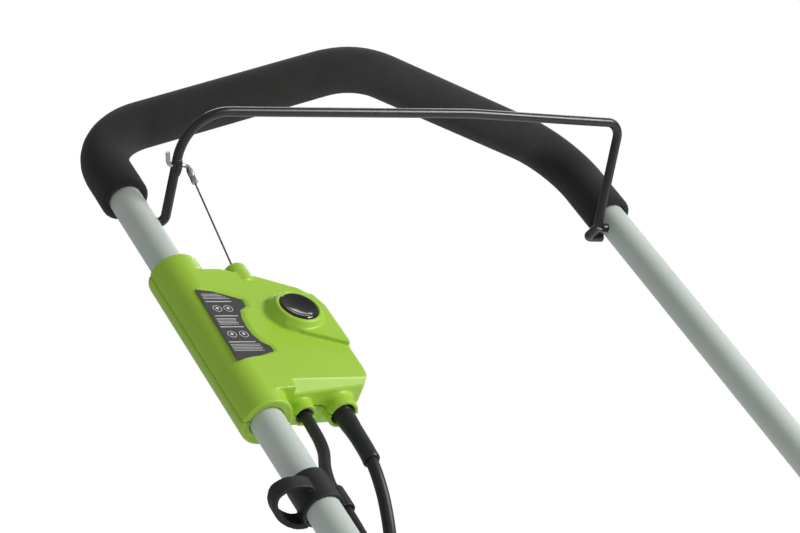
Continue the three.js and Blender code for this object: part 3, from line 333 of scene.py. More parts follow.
# %% The mower's finishes
powder_coat = finish("powder_coat", (205, 214, 208), (198, 207, 201), (0.40, 0.50), (1500, 0.25, 0.00012), 9,
                     scuffs=(70, 0.12, (225, 230, 226)))
green_plastic = finish("green_plastic", (170, 214, 60), (163, 208, 54), (0.34, 0.44), (1700, 0.22, 0.0001),
                       12, scuffs=(60, 0.06, (190, 222, 110)), Coat_Weight=0.12, Coat_Roughness=0.25)
foam_skin = finish("foam_skin", (35, 33, 32), (29, 28, 27), (0.90, 0.98), (2600, 0.6, 0.0003), 30,
                   scuffs=(110, 0.10, (56, 54, 52)), Sheen_Weight=0.06, Sheen_Roughness=0.6)
gloss_wire = finish("gloss_wire", (22, 22, 22), (17, 17, 17), (0.30, 0.38), (900, 0.12, 0.0001), 20,
                    scuffs=(120, 0.06, (50, 50, 50)), Coat_Weight=0.2, Coat_Roughness=0.2)
satin_black = finish("satin_black", (34, 34, 35), (28, 28, 29), (0.42, 0.54), (1600, 0.3, 0.00015), 24,
                     scuffs=(90, 0.08, (62, 62, 62)))
gloss_black = finish("gloss_black", (20, 20, 21), (15, 15, 16), (0.10, 0.16), (500, 0.04, 0.0001), 20,
                     Coat_Weight=0.6, Coat_Roughness=0.05)
cord_jacket = finish("cord_jacket", (33, 34, 36), (26, 27, 29), (0.36, 0.48), (700, 0.2, 0.0002), 40,
                     scuffs=(150, 0.10, (64, 64, 64)))
tyre_rubber = finish("tyre_rubber", (36, 36, 36), (26, 26, 26), (0.72, 0.86), (900, 0.4, 0.0004), 18,
                     scuffs=(26, 0.35, (92, 88, 80)))
zinc = finish("zinc", (198, 200, 203), (172, 175, 180), (0.24, 0.38), (500, 0.2, 0.0001), 60,
              scuffs=(140, 0.25, (150, 152, 155)), metallic=1.0)
ground_steel = finish("ground_steel", (190, 192, 196), (160, 163, 168), (0.26, 0.42), (300, 0.35, 0.0002), 26,
                      scuffs=(34, 0.30, (128, 120, 108)), metallic=1.0)
dark_pressing = finish("dark_pressing", (72, 76, 80), (62, 66, 70), (0.40, 0.55), (1200, 0.3, 0.0002), 12,
                       scuffs=(45, 0.22, (112, 112, 110)), metallic=0.2)
ivory_plastic = finish("ivory_plastic", (226, 222, 210), (215, 211, 198), (0.45, 0.55), (1300, 0.2, 0.0001),
                       24)
cable_steel = finish("cable_steel", (112, 112, 110), (84, 84, 83), (0.45, 0.6), (900, 0.3, 0.0001), 300,
                     metallic=0.6)
label_foil = finish("label_foil", (64, 64, 65), (56, 56, 57), (0.42, 0.52), (1900, 0.15, 0.00006), 50,
                    scuffs=(130, 0.10, (110, 110, 110)))
label_ink = finish("label_ink", (222, 224, 222), (205, 207, 205), (0.5, 0.6), (1500, 0.1, 0.00005), 80)
studio_floor = finish("studio_floor", (244, 244, 244), (240, 240, 240), (0.85, 0.95), (60, 0.05, 0.001), 1,
                      Emission_Color=WHITE)
floor.data.materials.append(studio_floor)


def glow_to_camera(material, seen):
    """The floor adds a glow that only the camera sees, so that it fades to the same white as the sky."""
    tree = material.node_tree
    path = tree.nodes.new("ShaderNodeLightPath")
    share = tree.nodes.new("ShaderNodeMath")
    share.operation = "MULTIPLY"
    share.inputs[1].default_value = seen
    tree.links.new(path.outputs["Is Camera Ray"], share.inputs[0])
    tree.links.new(share.outputs[0], tree.nodes["Principled BSDF"].inputs["Emission Strength"])


glow_to_camera(studio_floor, 0.74)
print(len(bpy.data.materials), "finishes")

# %% [markdown]
# Every piece ends the same way: its bmesh is merged, its normals are made to point outwards, its sharp edges
# are marked, and its place goes into its mesh. A mirrored place turns a shape inside out, so its faces are
# turned back. Then the piece is told which body it rides on and which plain solids it stands for.


# %% Helpers: from bmesh to a finished piece
def into_scene(name, mesh, material):
    piece = bpy.data.objects.new(name, mesh)
    scene.collection.objects.link(piece)
    mesh.materials.clear()
    mesh.materials.append(material)
    return piece


def shade(bm, limit=32):
    """Smooth shading, with an edge left sharp where the surface turns by more than the limit, in degrees."""
    for face in bm.faces:
        face.smooth = True
    for edge in bm.edges:
        edge.smooth = edge.calc_face_angle(0.0) < math.radians(limit)


def from_bmesh(name, bm, place, material, body=None, stands_for=(), limit=32):
    """Closes a bmesh in its own frame, moves it to its place and gives it a body to ride on."""
    bmesh.ops.remove_doubles(bm, verts=bm.verts, dist=1e-4)
    bmesh.ops.recalc_face_normals(bm, faces=bm.faces)
    shade(bm, limit)
    bm.transform(place)
    if place.determinant() < 0:
        bmesh.ops.reverse_faces(bm, faces=bm.faces)
    mesh = bpy.data.meshes.new(name)
    bm.to_mesh(mesh)
    bm.free()
    piece = into_scene(name, mesh, material)
    if body:
        settle(piece, body, stands_for)
    return piece


def settle(piece, body, stands_for=()):
    """The piece rides on a body and stands for its plain solids, which are hidden."""
    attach(piece, body)
    if stands_for:
        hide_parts(*stands_for)
    return piece


def soften(bm, width, limit=35, segments=3):
    """Rounds every edge that turns by more than the limit, in degrees."""
    sharp = [e for e in bm.edges if e.is_manifold and e.calc_face_angle(0.0) > math.radians(limit)]
    bmesh.ops.bevel(
        bm, geom=sharp, offset=width, segments=segments, profile=0.5, affect="EDGES",
        material=-1, clamp_overlap=True,
    )


print("helpers for meshes ready")

# %% [markdown]
# Tubes, wires and cords are a round section carried along a line. A curve with a bevel does that cleanly,
# and it can then be made a mesh, given a wall by solidify, and have its rims rounded.


# %% Helpers: rods and tubes
def rounded_route(corners, step=5):
    """Straight runs with round corners. A corner is (x, y, z) or, where it bends, (x, y, z, radius)."""
    points = [Vector(c[:3]) for c in corners]
    out = [points[0]]
    for i in range(1, len(points) - 1):
        to_back = (points[i - 1] - points[i]).normalized()
        to_next = (points[i + 1] - points[i]).normalized()
        opening = to_back.angle(to_next)
        turn = math.pi - opening
        radius = corners[i][3]
        centre = (to_back + to_next).normalized() * (radius / math.sin(opening / 2)) + points[i]
        start = points[i] + to_back * radius * math.tan(turn / 2) - centre
        axis = to_next.cross(to_back).normalized()
        steps = max(3, math.ceil(math.degrees(turn) / step))
        for k in range(steps + 1):
            out.append(Matrix.Rotation(turn * k / steps, 3, axis) @ start + centre)
    return out + [points[-1]]


def round_curve(name, points, radius, place, kind="POLY", capped=True, sides=28):
    """A curve object with a round section. Points are in a millimetre frame; the curve is in metres."""
    curve = bpy.data.curves.new(name, "CURVE")
    curve.dimensions = "3D"
    curve.bevel_depth = radius * MM
    curve.bevel_resolution = max(1, sides // 4 - 1)
    curve.resolution_u = 8
    curve.use_fill_caps = capped
    spline = curve.splines.new(kind)
    if kind == "BEZIER":
        spline.bezier_points.add(len(points) - 1)
        for knot, point in zip(spline.bezier_points, points):
            knot.co = place @ Vector(point)
            knot.handle_left_type = knot.handle_right_type = "AUTO"
    else:
        spline.points.add(len(points) - 1)
        for knot, point in zip(spline.points, points):
            knot.co = (*(place @ Vector(point)), 1)
    piece = bpy.data.objects.new(name, curve)
    scene.collection.objects.link(piece)
    return piece


def curve_to_bmesh(piece):
    """The curve's surface as a bmesh, in metres. The curve object goes."""
    bpy.context.view_layer.update()
    mesh = bpy.data.meshes.new_from_object(piece.evaluated_get(bpy.context.evaluated_depsgraph_get()))
    bm = bmesh.new()
    bm.from_mesh(mesh)
    bpy.data.objects.remove(piece)
    bpy.data.meshes.remove(mesh)
    bmesh.ops.remove_doubles(bm, verts=bm.verts, dist=1e-6)
    return bm


def rod(name, points, radius, place, material, body=None, stands_for=(), kind="POLY", sides=28):
    """A solid round rod along the points."""
    bm = curve_to_bmesh(round_curve(name, points, radius, place, kind, True, sides))
    return closed_rod(name, bm, material, body, stands_for)


def closed_rod(name, bm, material, body=None, stands_for=()):
    bmesh.ops.recalc_face_normals(bm, faces=bm.faces)
    shade(bm)
    mesh = bpy.data.meshes.new(name)
    bm.to_mesh(mesh)
    bm.free()
    piece = into_scene(name, mesh, material)
    if body:
        settle(piece, body, stands_for)
    return piece


def hollow_rod(name, points, radius, wall, place, material, body, stands_for, rounding=0.3, sides=40):
    """A tube with a real wall, and rims that are slightly rounded."""
    bm = curve_to_bmesh(round_curve(name, points, radius, place, "POLY", False, sides))
    bmesh.ops.recalc_face_normals(bm, faces=bm.faces)
    bmesh.ops.solidify(bm, geom=bm.faces[:], thickness=wall * MM)
    bmesh.ops.recalc_face_normals(bm, faces=bm.faces)
    soften(bm, rounding * MM, 60)
    return closed_rod(name, bm, material, body, stands_for)


print("helpers for rods ready")

# %% [markdown]
# Wheels, pulleys, the plug and the button are round about an axle. Cylinders could be stacked up for them,
# but one profile spun about the axle has no inner faces and takes every small step of the real shape.


# %% Helpers: a lathe
def lathe(profile, sides=72, closed=False):
    """Spins (radius, along) pairs about X, in millimetres. The profile ends on the axle or closes."""
    bm = bmesh.new()
    ring = [bm.verts.new((along, radius, 0)) for radius, along in profile]
    after = ring[1:] + ring[:1] if closed else ring[1:]
    edges = [bm.edges.new(pair) for pair in zip(ring, after)]
    bmesh.ops.spin(
        bm, geom=ring + edges, cent=(0, 0, 0), axis=(1, 0, 0), angle=2 * math.pi, steps=sides, use_merge=True,
    )
    bmesh.ops.remove_doubles(bm, verts=bm.verts, dist=1e-4)
    bmesh.ops.recalc_face_normals(bm, faces=bm.faces)
    return bm


def spun(bm, turn, axis):
    """Turns a whole bmesh about an axis through its origin, by an angle in radians."""
    bmesh.ops.rotate(bm, verts=bm.verts, cent=(0, 0, 0), matrix=Matrix.Rotation(turn, 3, axis))
    return bm


def facing(way):
    """The matrix that turns a piece made along X to face another way."""
    return across.rotation_difference(way.normalized()).to_matrix().to_4x4()


def gather(*parts):
    """Several bmeshes as one. The parts are freed."""
    whole = bmesh.new()
    for part in parts:
        mesh = bpy.data.meshes.new("part")
        part.to_mesh(mesh)
        part.free()
        whole.from_mesh(mesh)
        bpy.data.meshes.remove(mesh)
    return whole


print("helpers for round pieces ready")

# %% [markdown]
# The cords come first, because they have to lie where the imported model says. The mains cord is a short
# pigtail of 9 mm cable that hangs from the switch box and ends in its plug. It is a curve of one spline,
# so its own line is its length. A tapered sleeve relieves it where it leaves the box.

# %% Mains cord, its strain relief and its plug
MAINS_X = 65
MAINS_RADIUS = 4.6
PINS_APART = 19
mains_route = [
    (MAINS_X, -212, 0), (MAINS_X, -230, 0), (MAINS_X, -250, -0.3), (MAINS_X - 0.3, -270, -1.2),
    (MAINS_X - 0.6, -290, -6.5), (MAINS_X - 1, -310, -16.5), (MAINS_X - 1.5, -330, -32),
    (MAINS_X - 2, -350, -56), (MAINS_X - 2, -370, -88), (MAINS_X - 1, -392, -128),
    (MAINS_X + 2, -418, -172), (MAINS_X + 4, -448, -214), (MAINS_X + 4, -480, -256),
]


mains_cord = round_curve("mains_cord_jacket", mains_route, MAINS_RADIUS, BOX, "BEZIER")
mains_cord.data.materials.append(cord_jacket)
settle(mains_cord, "upper_handle", ["mains_cord"])


def strain_relief():
    """A smooth sleeve that thins towards its free end, bent along the first stretch of the cord."""
    start, end, bore = -206, -274, MAINS_RADIUS + 0.15
    profile = [
        (bore, start), (8.6, start), (8.6, -223), (8.0, -224.6), (7.2, -225.6), (6.7, -228), (7.2, -231),
        (7.0, -236), (6.5, -242), (6.25, -250), (6.2, -262), (6.25, -270), (6.45, -271), (6.45, end + 0.8),
        (6.0, end), (bore, end),
    ]
    bm = lathe(profile, 56, closed=True)
    spun(bm, math.pi / 2, "Z")
    bmesh.ops.translate(bm, verts=bm.verts, vec=(MAINS_X, 0, 0))
    bend_from, bend_over = -248, 26
    for vert in bm.verts:
        below = max(0.0, bend_from - vert.co.y) / bend_over
        vert.co.z -= 1.5 * below ** 2
        vert.co.x -= 0.3 * below ** 2
    return from_bmesh("strain_relief_sleeve", bm, BOX, cord_jacket, "upper_handle",
                      ["mains_strain_relief"], limit=50)


def plug_body():
    """Moulded plug: a ribbed neck, a flared body with a flat face, and two round pins."""
    profile = [(0, 0.3), (6.6, 0.3), (7.2, 1.5)]
    for k in range(5):
        y, neck = 3 + 3.4 * k, 6.6 + 0.3 * k
        profile += [(neck + 0.8, y), (neck + 1.0, y + 2.0), (neck, y + 2.3), (neck, y + 3.1)]
    profile += [(9.5, 22), (12.0, 27), (15.6, 32), (17, 35), (17, 57), (16.6, 60), (15.0, 62), (0, 62)]
    pins = []
    for side in (-1, 1):
        pin = lathe([(0, 60), (2.4, 60), (2.4, 78.4), (1.6, 80), (0, 80)], 24)
        bmesh.ops.translate(pin, verts=pin.verts, vec=(0, side * PINS_APART / 2, 0))
        pins.append(pin)
    last, before = Vector(mains_route[-1]), Vector(mains_route[-2])
    place = BOX @ Matrix.Translation(last) @ facing(last - before) @ Matrix.Rotation(math.pi / 2, 4, "X")
    return from_bmesh("mains_plug_moulding", gather(lathe(profile, 64), *pins), place, satin_black,
                      "upper_handle", ["mains_plug"])


relief, plug = strain_relief(), plug_body()

# %% [markdown]
# The motor lead is held all the way: through the switch box's small gland, the clip on the upper tube, past
# the fold and down the lower tube to the motor's hood. It has to bend when the handle folds, but here it is
# one fixed mesh tube that rides on no body.

# %% Motor lead
LEAD_RADIUS = 4.4
LEAD_X = 33
LEAD_SINK = -1
LOWER_X = HALF_SPAN - 2 * TUBE - 2
LOWER_CLIP_V = -700
lead_beside = TUBE + LEAD_RADIUS + 1.6
beside_upper = lead_beside - HALF_SPAN
beside_lower = lead_beside - LOWER_X
PORT = Vector((-120, -353, 188)) * MM  # the lead's hole in the hood


def in_handle(point):
    """A point of the mower, in metres, in the handle's own millimetres."""
    return tuple(HANDLE.inverted() @ Vector(point))


lead_route = [
    (LEAD_X - HALF_SPAN, -212, 0), (LEAD_X - HALF_SPAN, -236, 0), (LEAD_X - HALF_SPAN - 3, -262, 0),
    (beside_upper + 4, -282, LEAD_SINK), (beside_upper, -300, LEAD_SINK), (beside_upper, -325, LEAD_SINK),
    (beside_upper + 1, -375, LEAD_SINK - 3), (beside_upper + 10, -425, LEAD_SINK - 10),
    (beside_lower + 6, -470, LEAD_SINK - 14), (beside_lower + 3, -520, LEAD_SINK - 8),
    (beside_lower, -570, LEAD_SINK), (beside_lower, -620, LEAD_SINK), (beside_lower, LOWER_CLIP_V, LEAD_SINK),
    (beside_lower, -780, LEAD_SINK), (beside_lower, -850, LEAD_SINK), (beside_lower + 6, -900, LEAD_SINK),
    (beside_lower + 30, -950, LEAD_SINK + 6), in_handle(PORT + Vector((-6, 45, 22)) * MM),
    in_handle(PORT + Vector((0, 17, 3)) * MM), in_handle(PORT), in_handle(PORT + Vector((0, -26, 0)) * MM),
]
motor_lead = rod("motor_lead_jacket", lead_route, LEAD_RADIUS, HANDLE, cord_jacket, kind="BEZIER", sides=20)
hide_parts("motor_lead")
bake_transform(motor_lead)
print("motor lead", len(motor_lead.data.vertices), "vertices")

# %% [markdown]
# The handle tubes are 25 mm steel tube in pale grey powder coat, bent to a wide U whose top rises to a low
# peak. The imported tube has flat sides, so a round one with a real wall is swept along the same route.

# %% Handle tubes
GRIP_RISE = 104.9
APEX_RISE = 122.5
APEX_LIFT = 69.3
CORNER_BEND = 48
APEX_BEND = 100
TUBE_TAIL = 24
LOWER_LENGTH = 600
STEP_FROM, STEP_TO, STEP_BEND = 190, 110, 60  # where a lower tube steps out, above its foot
SIDES = ((-1, "left"), (1, "right"))
grip_route = [
    (-HALF_SPAN, GRIP_RISE, 0, CORNER_BEND), (0, APEX_RISE, APEX_LIFT, APEX_BEND),
    (HALF_SPAN, GRIP_RISE, 0, CORNER_BEND),
]
tail = FOLD_V - TUBE_TAIL
foot = FOLD_V - LOWER_LENGTH
upper_route = rounded_route([(-HALF_SPAN, tail, 0), *grip_route, (HALF_SPAN, tail, 0)])
hollow_rod("upper_tube", upper_route, TUBE, TUBE_WALL, HANDLE, powder_coat, "upper_handle",
           ["upper_handle_tube"])
for side, name in SIDES:
    lower_route = rounded_route([
        (side * LOWER_X, FOLD_V + TUBE_TAIL, 0), (side * LOWER_X, foot + STEP_FROM, 0, STEP_BEND),
        (side * HALF_SPAN, foot + STEP_TO, 0, STEP_BEND), (side * HALF_SPAN, foot, 0),
    ])
    hollow_rod(f"lower_tube_{name}", lower_route, TUBE, TUBE_WALL, HANDLE, powder_coat, "chassis",
               [f"lower_handle_{name}"])
print("tubes ready")

# %% [markdown]
# The grip is one sleeve of closed-cell foam from side to side, stretched over the bends. Its skin is matt
# and almost even, and its two ends are cut square and have gone round at the edge. The real foam thins a
# little on the outside of each bend; this sleeve keeps one wall all round.

# %% Foam grip
FOAM_RADIUS = 18.5
FOAM_ENDS = (27, 14)  # left and right, above the pivots
foam_points = rounded_route([(-HALF_SPAN, FOAM_ENDS[0], 0), *grip_route, (HALF_SPAN, FOAM_ENDS[1], 0)], 4)
foam_grip = hollow_rod("foam_sleeve", foam_points, FOAM_RADIUS, FOAM_RADIUS - TUBE - 0.15, HANDLE, foam_skin,
                       "upper_handle", ["foam_grip"], rounding=2.4, sides=48)
print("foam", len(foam_grip.data.polygons), "faces")

# %% [markdown]
# The bail is 7.5 mm wire, bent to follow the grip and dipped in gloss black. Its ends turn out into the
# tubes as pivots. The left leg is pressed flat where the cable hook passes through it, and a short stop
# is welded on the right, which meets the back of the tube.

# %% Bail
WIRE_RADIUS = 3.75
BAIL_HALF = HALF_SPAN - TUBE - 6.5 - WIRE_RADIUS
PADDLE_REACH = 45
STOP_RISE = 7
STOP_X = HALF_SPAN - 6.5
pin_end = HALF_SPAN - TUBE + TUBE_WALL + 3
bail_route = rounded_route([
    (-pin_end, 0, 0), (-BAIL_HALF - 2, 0, 0, 6), (-BAIL_HALF, 87.2, 0, 38), (52, 93.6, 0, 60),
    (BAIL_HALF, 90.3, 0, 13), (BAIL_HALF + 1, 0, 0, 6), (pin_end, 0, 0),
])
rod("bail_wire", bail_route, WIRE_RADIUS, BAIL, gloss_wire, "bail", ["bail_bar"])


def in_bail(x, v, n):
    return Matrix.Rotation(-math.radians(BAIL_ANGLE), 3, "X") @ Vector((x, v, n))


behind_tube = -(math.sqrt(TUBE ** 2 - (HALF_SPAN - STOP_X) ** 2) + WIRE_RADIUS + 0.3)
rod("bail_stop", rounded_route([
    in_bail(BAIL_HALF + 1, -1, 3), (*in_bail(BAIL_HALF + 1, STOP_RISE, behind_tube), 5),
    in_bail(STOP_X, STOP_RISE, behind_tube),
]), WIRE_RADIUS - 0.05, BAIL, gloss_wire, "bail", [])


def bail_paddle():
    """The pressed part of the leg: a lozenge with a hole, spun as a ring and drawn out along the wire."""
    bm = lathe([(2.4, -2.3), (7.4, -2.3), (8.6, -1.2), (8.6, 1.2), (7.4, 2.3), (2.4, 2.3)], 40, closed=True)
    for vert in bm.verts:
        reach = math.hypot(vert.co.y, vert.co.z)
        if reach > 3:
            vert.co.z *= 0.60
            vert.co.y *= 1.05
    bmesh.ops.translate(bm, verts=bm.verts, vec=(-BAIL_HALF - 0.2, PADDLE_REACH - 1, 0))
    return from_bmesh("bail_paddle", bm, BAIL, gloss_wire, "bail", [])


bail_paddle()
print("bail ready")

# %% [markdown]
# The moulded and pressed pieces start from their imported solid, because its walls, holes and recesses are
# right. A copy of it is merged, given finer round parts where it has flats, and then either bevelled, if
# it is a plain piece, or fused into one skin and relaxed, which gives the soft edges of a moulding.


# %% Helpers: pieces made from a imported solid
def packed_bmesh(node, place):
    """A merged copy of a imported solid, in the millimetres of a frame. The solid itself is not changed."""
    bm = bmesh.new()
    bm.from_mesh(frame["nodes"][node].data)
    bm.transform(place.inverted())
    bmesh.ops.remove_doubles(bm, verts=bm.verts, dist=1e-3)
    bmesh.ops.recalc_face_normals(bm, faces=bm.faces)
    return bm


def with_modifiers(bm, *steps):
    """Runs modifiers on a bmesh and returns the result. A step is (kind, {setting: value})."""
    mesh = bpy.data.meshes.new("work")
    bm.to_mesh(mesh)
    bm.free()
    work = bpy.data.objects.new("work", mesh)
    scene.collection.objects.link(work)
    for kind, settings in steps:
        modifier = work.modifiers.new(kind, kind)
        for label, value in settings.items():
            setattr(modifier, label, value)
    bpy.context.view_layer.update()
    result = bpy.data.meshes.new_from_object(work.evaluated_get(bpy.context.evaluated_depsgraph_get()))
    out = bmesh.new()
    out.from_mesh(result)
    bpy.data.objects.remove(work)
    for used in (mesh, result):
        bpy.data.meshes.remove(used)
    return out


def fused(bm, voxel, relax=6):
    """One closed skin round overlapping solids, relaxed so that its edges go soft. Sizes in millimetres."""
    return with_modifiers(
        bm, ("REMESH", {"mode": "VOXEL", "voxel_size": voxel}),
        ("SMOOTH", {"factor": 0.5, "iterations": relax}),
    )


def cut_with(bm, *cutters):
    """Takes closed cutters out of a closed bmesh."""
    tool_mesh = bpy.data.meshes.new("cutters")
    tools = gather(*cutters)
    tools.to_mesh(tool_mesh)
    tools.free()
    tool = bpy.data.objects.new("cutters", tool_mesh)
    scene.collection.objects.link(tool)
    out = with_modifiers(bm, ("BOOLEAN", {"operation": "DIFFERENCE", "solver": "EXACT", "object": tool}))
    bpy.data.objects.remove(tool)
    bpy.data.meshes.remove(tool_mesh)
    return out


print("helpers for packed solids ready")

# %% [markdown]
# Most additions are simple solids: a round bar or ring along an axis, a block, or an outline drawn out.
# They are made here once, in millimetres, and put together into pieces further down.


# %% Helpers: simple solids
def turned(profile, axis="X", at=(0, 0, 0), sides=72, closed=False):
    """A lathe piece about X, Y or Z, moved to its place."""
    bm = lathe(profile, sides, closed)
    if axis == "Y":
        spun(bm, math.pi / 2, "Z")
    elif axis == "Z":
        spun(bm, -math.pi / 2, "Y")
    bmesh.ops.translate(bm, verts=bm.verts, vec=at)
    return bm


def bar(radius, low, high, axis="X", at=(0, 0, 0), sides=48, edge=0.3):
    """A round bar from low to high along an axis, with its rims broken."""
    return turned([(0, low), (radius - edge, low), (radius, low + edge), (radius, high - edge),
                   (radius - edge, high), (0, high)], axis, at, sides)


def ring(inner, outer, low, high, axis="X", at=(0, 0, 0), sides=72):
    return turned([(inner, low), (outer, low), (outer, high), (inner, high)], axis, at, sides, closed=True)


def half(bm, side):
    """Keeps the part of a closed bmesh in front of the tube's plane (side 1) or behind it (side -1)."""
    bmesh.ops.bisect_plane(
        bm, geom=bm.verts[:] + bm.edges[:] + bm.faces[:], plane_co=(0, 0, side * 0.15),
        plane_no=(0, 0, side), clear_inner=True,
    )
    bmesh.ops.holes_fill(bm, edges=[e for e in bm.edges if e.is_boundary], sides=0)
    bmesh.ops.recalc_face_normals(bm, faces=bm.faces)
    return bm


def block(low, high):
    bm = bmesh.new()
    bmesh.ops.create_cube(bm, size=1)
    for vert in bm.verts:
        vert.co = Vector(h if c > 0 else l for c, l, h in zip(vert.co, low, high))
    return bm


def slab(outline, low, high, across="Z"):
    """A closed outline drawn out from low to high: (x, y) along Z, or (y, z) along X."""
    bm = bmesh.new()
    if across == "Z":
        bottom = [bm.verts.new((a, b, low)) for a, b in outline]
    else:
        bottom = [bm.verts.new((low, a, b)) for a, b in outline]
    face = bm.faces.new(bottom)
    drawn = bmesh.ops.extrude_face_region(bm, geom=[face])["geom"]
    way = (0, 0, high - low) if across == "Z" else (high - low, 0, 0)
    bmesh.ops.translate(bm, verts=[g for g in drawn if isinstance(g, bmesh.types.BMVert)], vec=way)
    bmesh.ops.recalc_face_normals(bm, faces=bm.faces)
    return bm


def skin(bm, rows):
    """Faces between each closed row of points and the next."""
    for first, second in zip(rows, rows[1:]):
        for i in range(len(first)):
            j = (i + 1) % len(first)
            bm.faces.new((first[i], first[j], second[j], second[i]))


def pressed(node, place, material, body, width, limit=30, segments=2):
    """A plain piece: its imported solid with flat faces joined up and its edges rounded."""
    bm = packed_bmesh(node, place)
    bmesh.ops.dissolve_limit(bm, angle_limit=math.radians(0.5), verts=bm.verts, edges=bm.edges)
    soften(bm, width, limit, segments)
    return from_bmesh(f"{node}_finished", bm, place, material, body, [node], limit=40)


print("simple solids ready")

# %% [markdown]
# The switch box is two moulded halves that clamp the left tube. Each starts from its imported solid, and
# true rounds are laid over the flats of its sleeve, its two cord rings and the button's collar.

# %% Switch box outlines
SLEEVE_RADIUS = 20
SLEEVE_ENDS = (-232, -64)
GLAND_SPAN = (-226, -207.5)
BUTTON = (60.5, -138)
LEVER = (41, -118)
LABEL_FLOOR = 18.6
RECESS = [
    (-8, -106), (6, -108.5), (26, -118), (25.5, -126), (18.5, -130.5), (15.6, -140), (15, -149),
    (15.6, -158), (19, -167), (24, -171), (24.5, -177), (13, -181), (-10, -187),
]
LEAD_RING = (6.5, 9.3)
MAINS_RING = (9.1, 11.9)


def smooth_line(points, steps):
    """A curve through all the points, in even steps between each pair."""
    out = []
    for i in range(len(points) - 1):
        a, b = Vector(points[max(i - 1, 0)]), Vector(points[i])
        c, d = Vector(points[i + 1]), Vector(points[min(i + 2, len(points) - 1)])
        for k in range(steps):
            t = k / steps
            out.append(b + (c - a) * t / 2 + (2 * a - 5 * b + 4 * c - d) * t * t / 2
                       + (3 * b - a - 3 * c + d) * t ** 3 / 2)
    return out + [Vector(points[-1])]


def grown(outline, by):
    """The outline with its corners moved outwards, apart from those on the far side of the tube."""
    out = []
    for i, corner in enumerate(outline):
        if corner[0] < 0:
            out.append(Vector(corner))
            continue
        back, onward = Vector(outline[i - 1]), Vector(outline[(i + 1) % len(outline)])
        along = (onward - back).normalized()
        out.append(Vector(corner) + Vector((-along.y, along.x)) * by)
    return out


def label_slope():
    """A cutter for the sloping border round the label's recess."""
    bm = bmesh.new()
    low = [bm.verts.new((x, v, LABEL_FLOOR + 0.1)) for x, v in RECESS]
    high = [bm.verts.new((x, v, 21.5)) for x, v in grown(RECESS, 6.5)]
    skin(bm, [low, high])
    bm.faces.new(low)
    bm.faces.new(high)
    bmesh.ops.recalc_face_normals(bm, faces=bm.faces)
    return bm


print("box outlines ready")

# %% [markdown]
# A box like this could be modelled face by face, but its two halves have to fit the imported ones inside.
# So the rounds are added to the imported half, and one voxel skin is drawn over all of it. The two cutters
# of the label overlap, so they are used one after the other: an exact boolean fails on both at once.


# %% Switch box shells
def box_rounds(side):
    """The sleeve's true round, the ring in its mouth and the cord rings, on one side of the seam."""
    low, high = SLEEVE_ENDS
    inside, edge = 17.3, 0.6
    sleeve = turned([
        (inside, low), (SLEEVE_RADIUS - edge, low), (SLEEVE_RADIUS, low + edge),
        (SLEEVE_RADIUS, high - edge), (SLEEVE_RADIUS - edge, high), (inside, high),
    ], "Y", sides=128, closed=True)
    sleeve = cut_with(cut_with(sleeve, slab(RECESS, LABEL_FLOOR, 40)), label_slope())
    mouth_floor = ring(TUBE + 0.4, inside + 0.3, low + 1.2, low + 11, "Y")
    lead_ring = ring(*LEAD_RING, *GLAND_SPAN, "Y", (LEAD_X, 0, 0))
    mains_ring = ring(*MAINS_RING, *GLAND_SPAN, "Y", (MAINS_X, 0, 0))
    return [half(part, side) for part in (sleeve, mouth_floor, lead_ring, mains_ring)]


def box_cover():
    collar = turned([
        (15.2, 16), (22.6, 16), (22.3, 20.4), (21.4, 22.2), (18.0, 28.2), (17.2, 28.9), (15.2, 28.9),
    ], "Z", (*BUTTON, 0), 96, closed=True)
    boss = half(ring(4.6, 9.5, -96, -76, "Y", (LEVER[0], 0, 12), 64), 1)
    seam = [half(ring(11.75, 12.3, v, v + 1.6, "Y", (MAINS_X, 0, 0)), 1) for v in (-216, -222)]
    body = cut_with(packed_bmesh("switch_box_cover", BOX), label_slope())
    whole = gather(body, *box_rounds(1), collar, boss, *seam)
    return from_bmesh("switch_box_top_shell", fused(whole, 0.9), BOX, green_plastic, "upper_handle",
                      ["switch_box_cover"], limit=60)


def box_base():
    whole = gather(packed_bmesh("switch_box_base", BOX), *box_rounds(-1))
    return from_bmesh("switch_box_bottom_shell", fused(whole, 1.0), BOX, green_plastic, "upper_handle",
                      ["switch_box_base"], limit=60)


for shell in (box_cover(), box_base()):
    print(shell.name, len(shell.data.polygons), "faces")

# %% [markdown]
# The button is polished, with a shallow dish. The label is a grey foil in a recess, printed with plain
# bars and four dotted rings, which say nothing. The print is thin raised geometry, so it needs no picture.

# %% Button and label
LABEL_TOP = 19.4
LABEL_LOW = 18.9


def button():
    bm = turned([
        (0, 8), (3.7, 8), (4, 8.3), (4, 13), (14.2, 13), (14.6, 13.4), (14.6, 28.2), (14.4, 29.0),
        (13.7, 29.6), (12.8, 29.7), (11.6, 29.45), (10.4, 28.9), (8.0, 28.2), (4.6, 27.6), (0, 27.3),
    ], "Z", (*BUTTON, 0), 96)
    return from_bmesh("release_button", bm, BOX, gloss_black, "lock_button", ["lock_button"])


label_outline = [
    (-7.7, -106.3), (5.8, -108.8), (25.7, -118.3), (25.2, -125.8), (18.3, -130.3), (15.3, -140),
    (14.7, -149), (15.3, -158), (18.7, -166.8), (23.7, -171.2), (24.2, -176.8), (12.9, -180.7),
    (-9.7, -186.6),
]


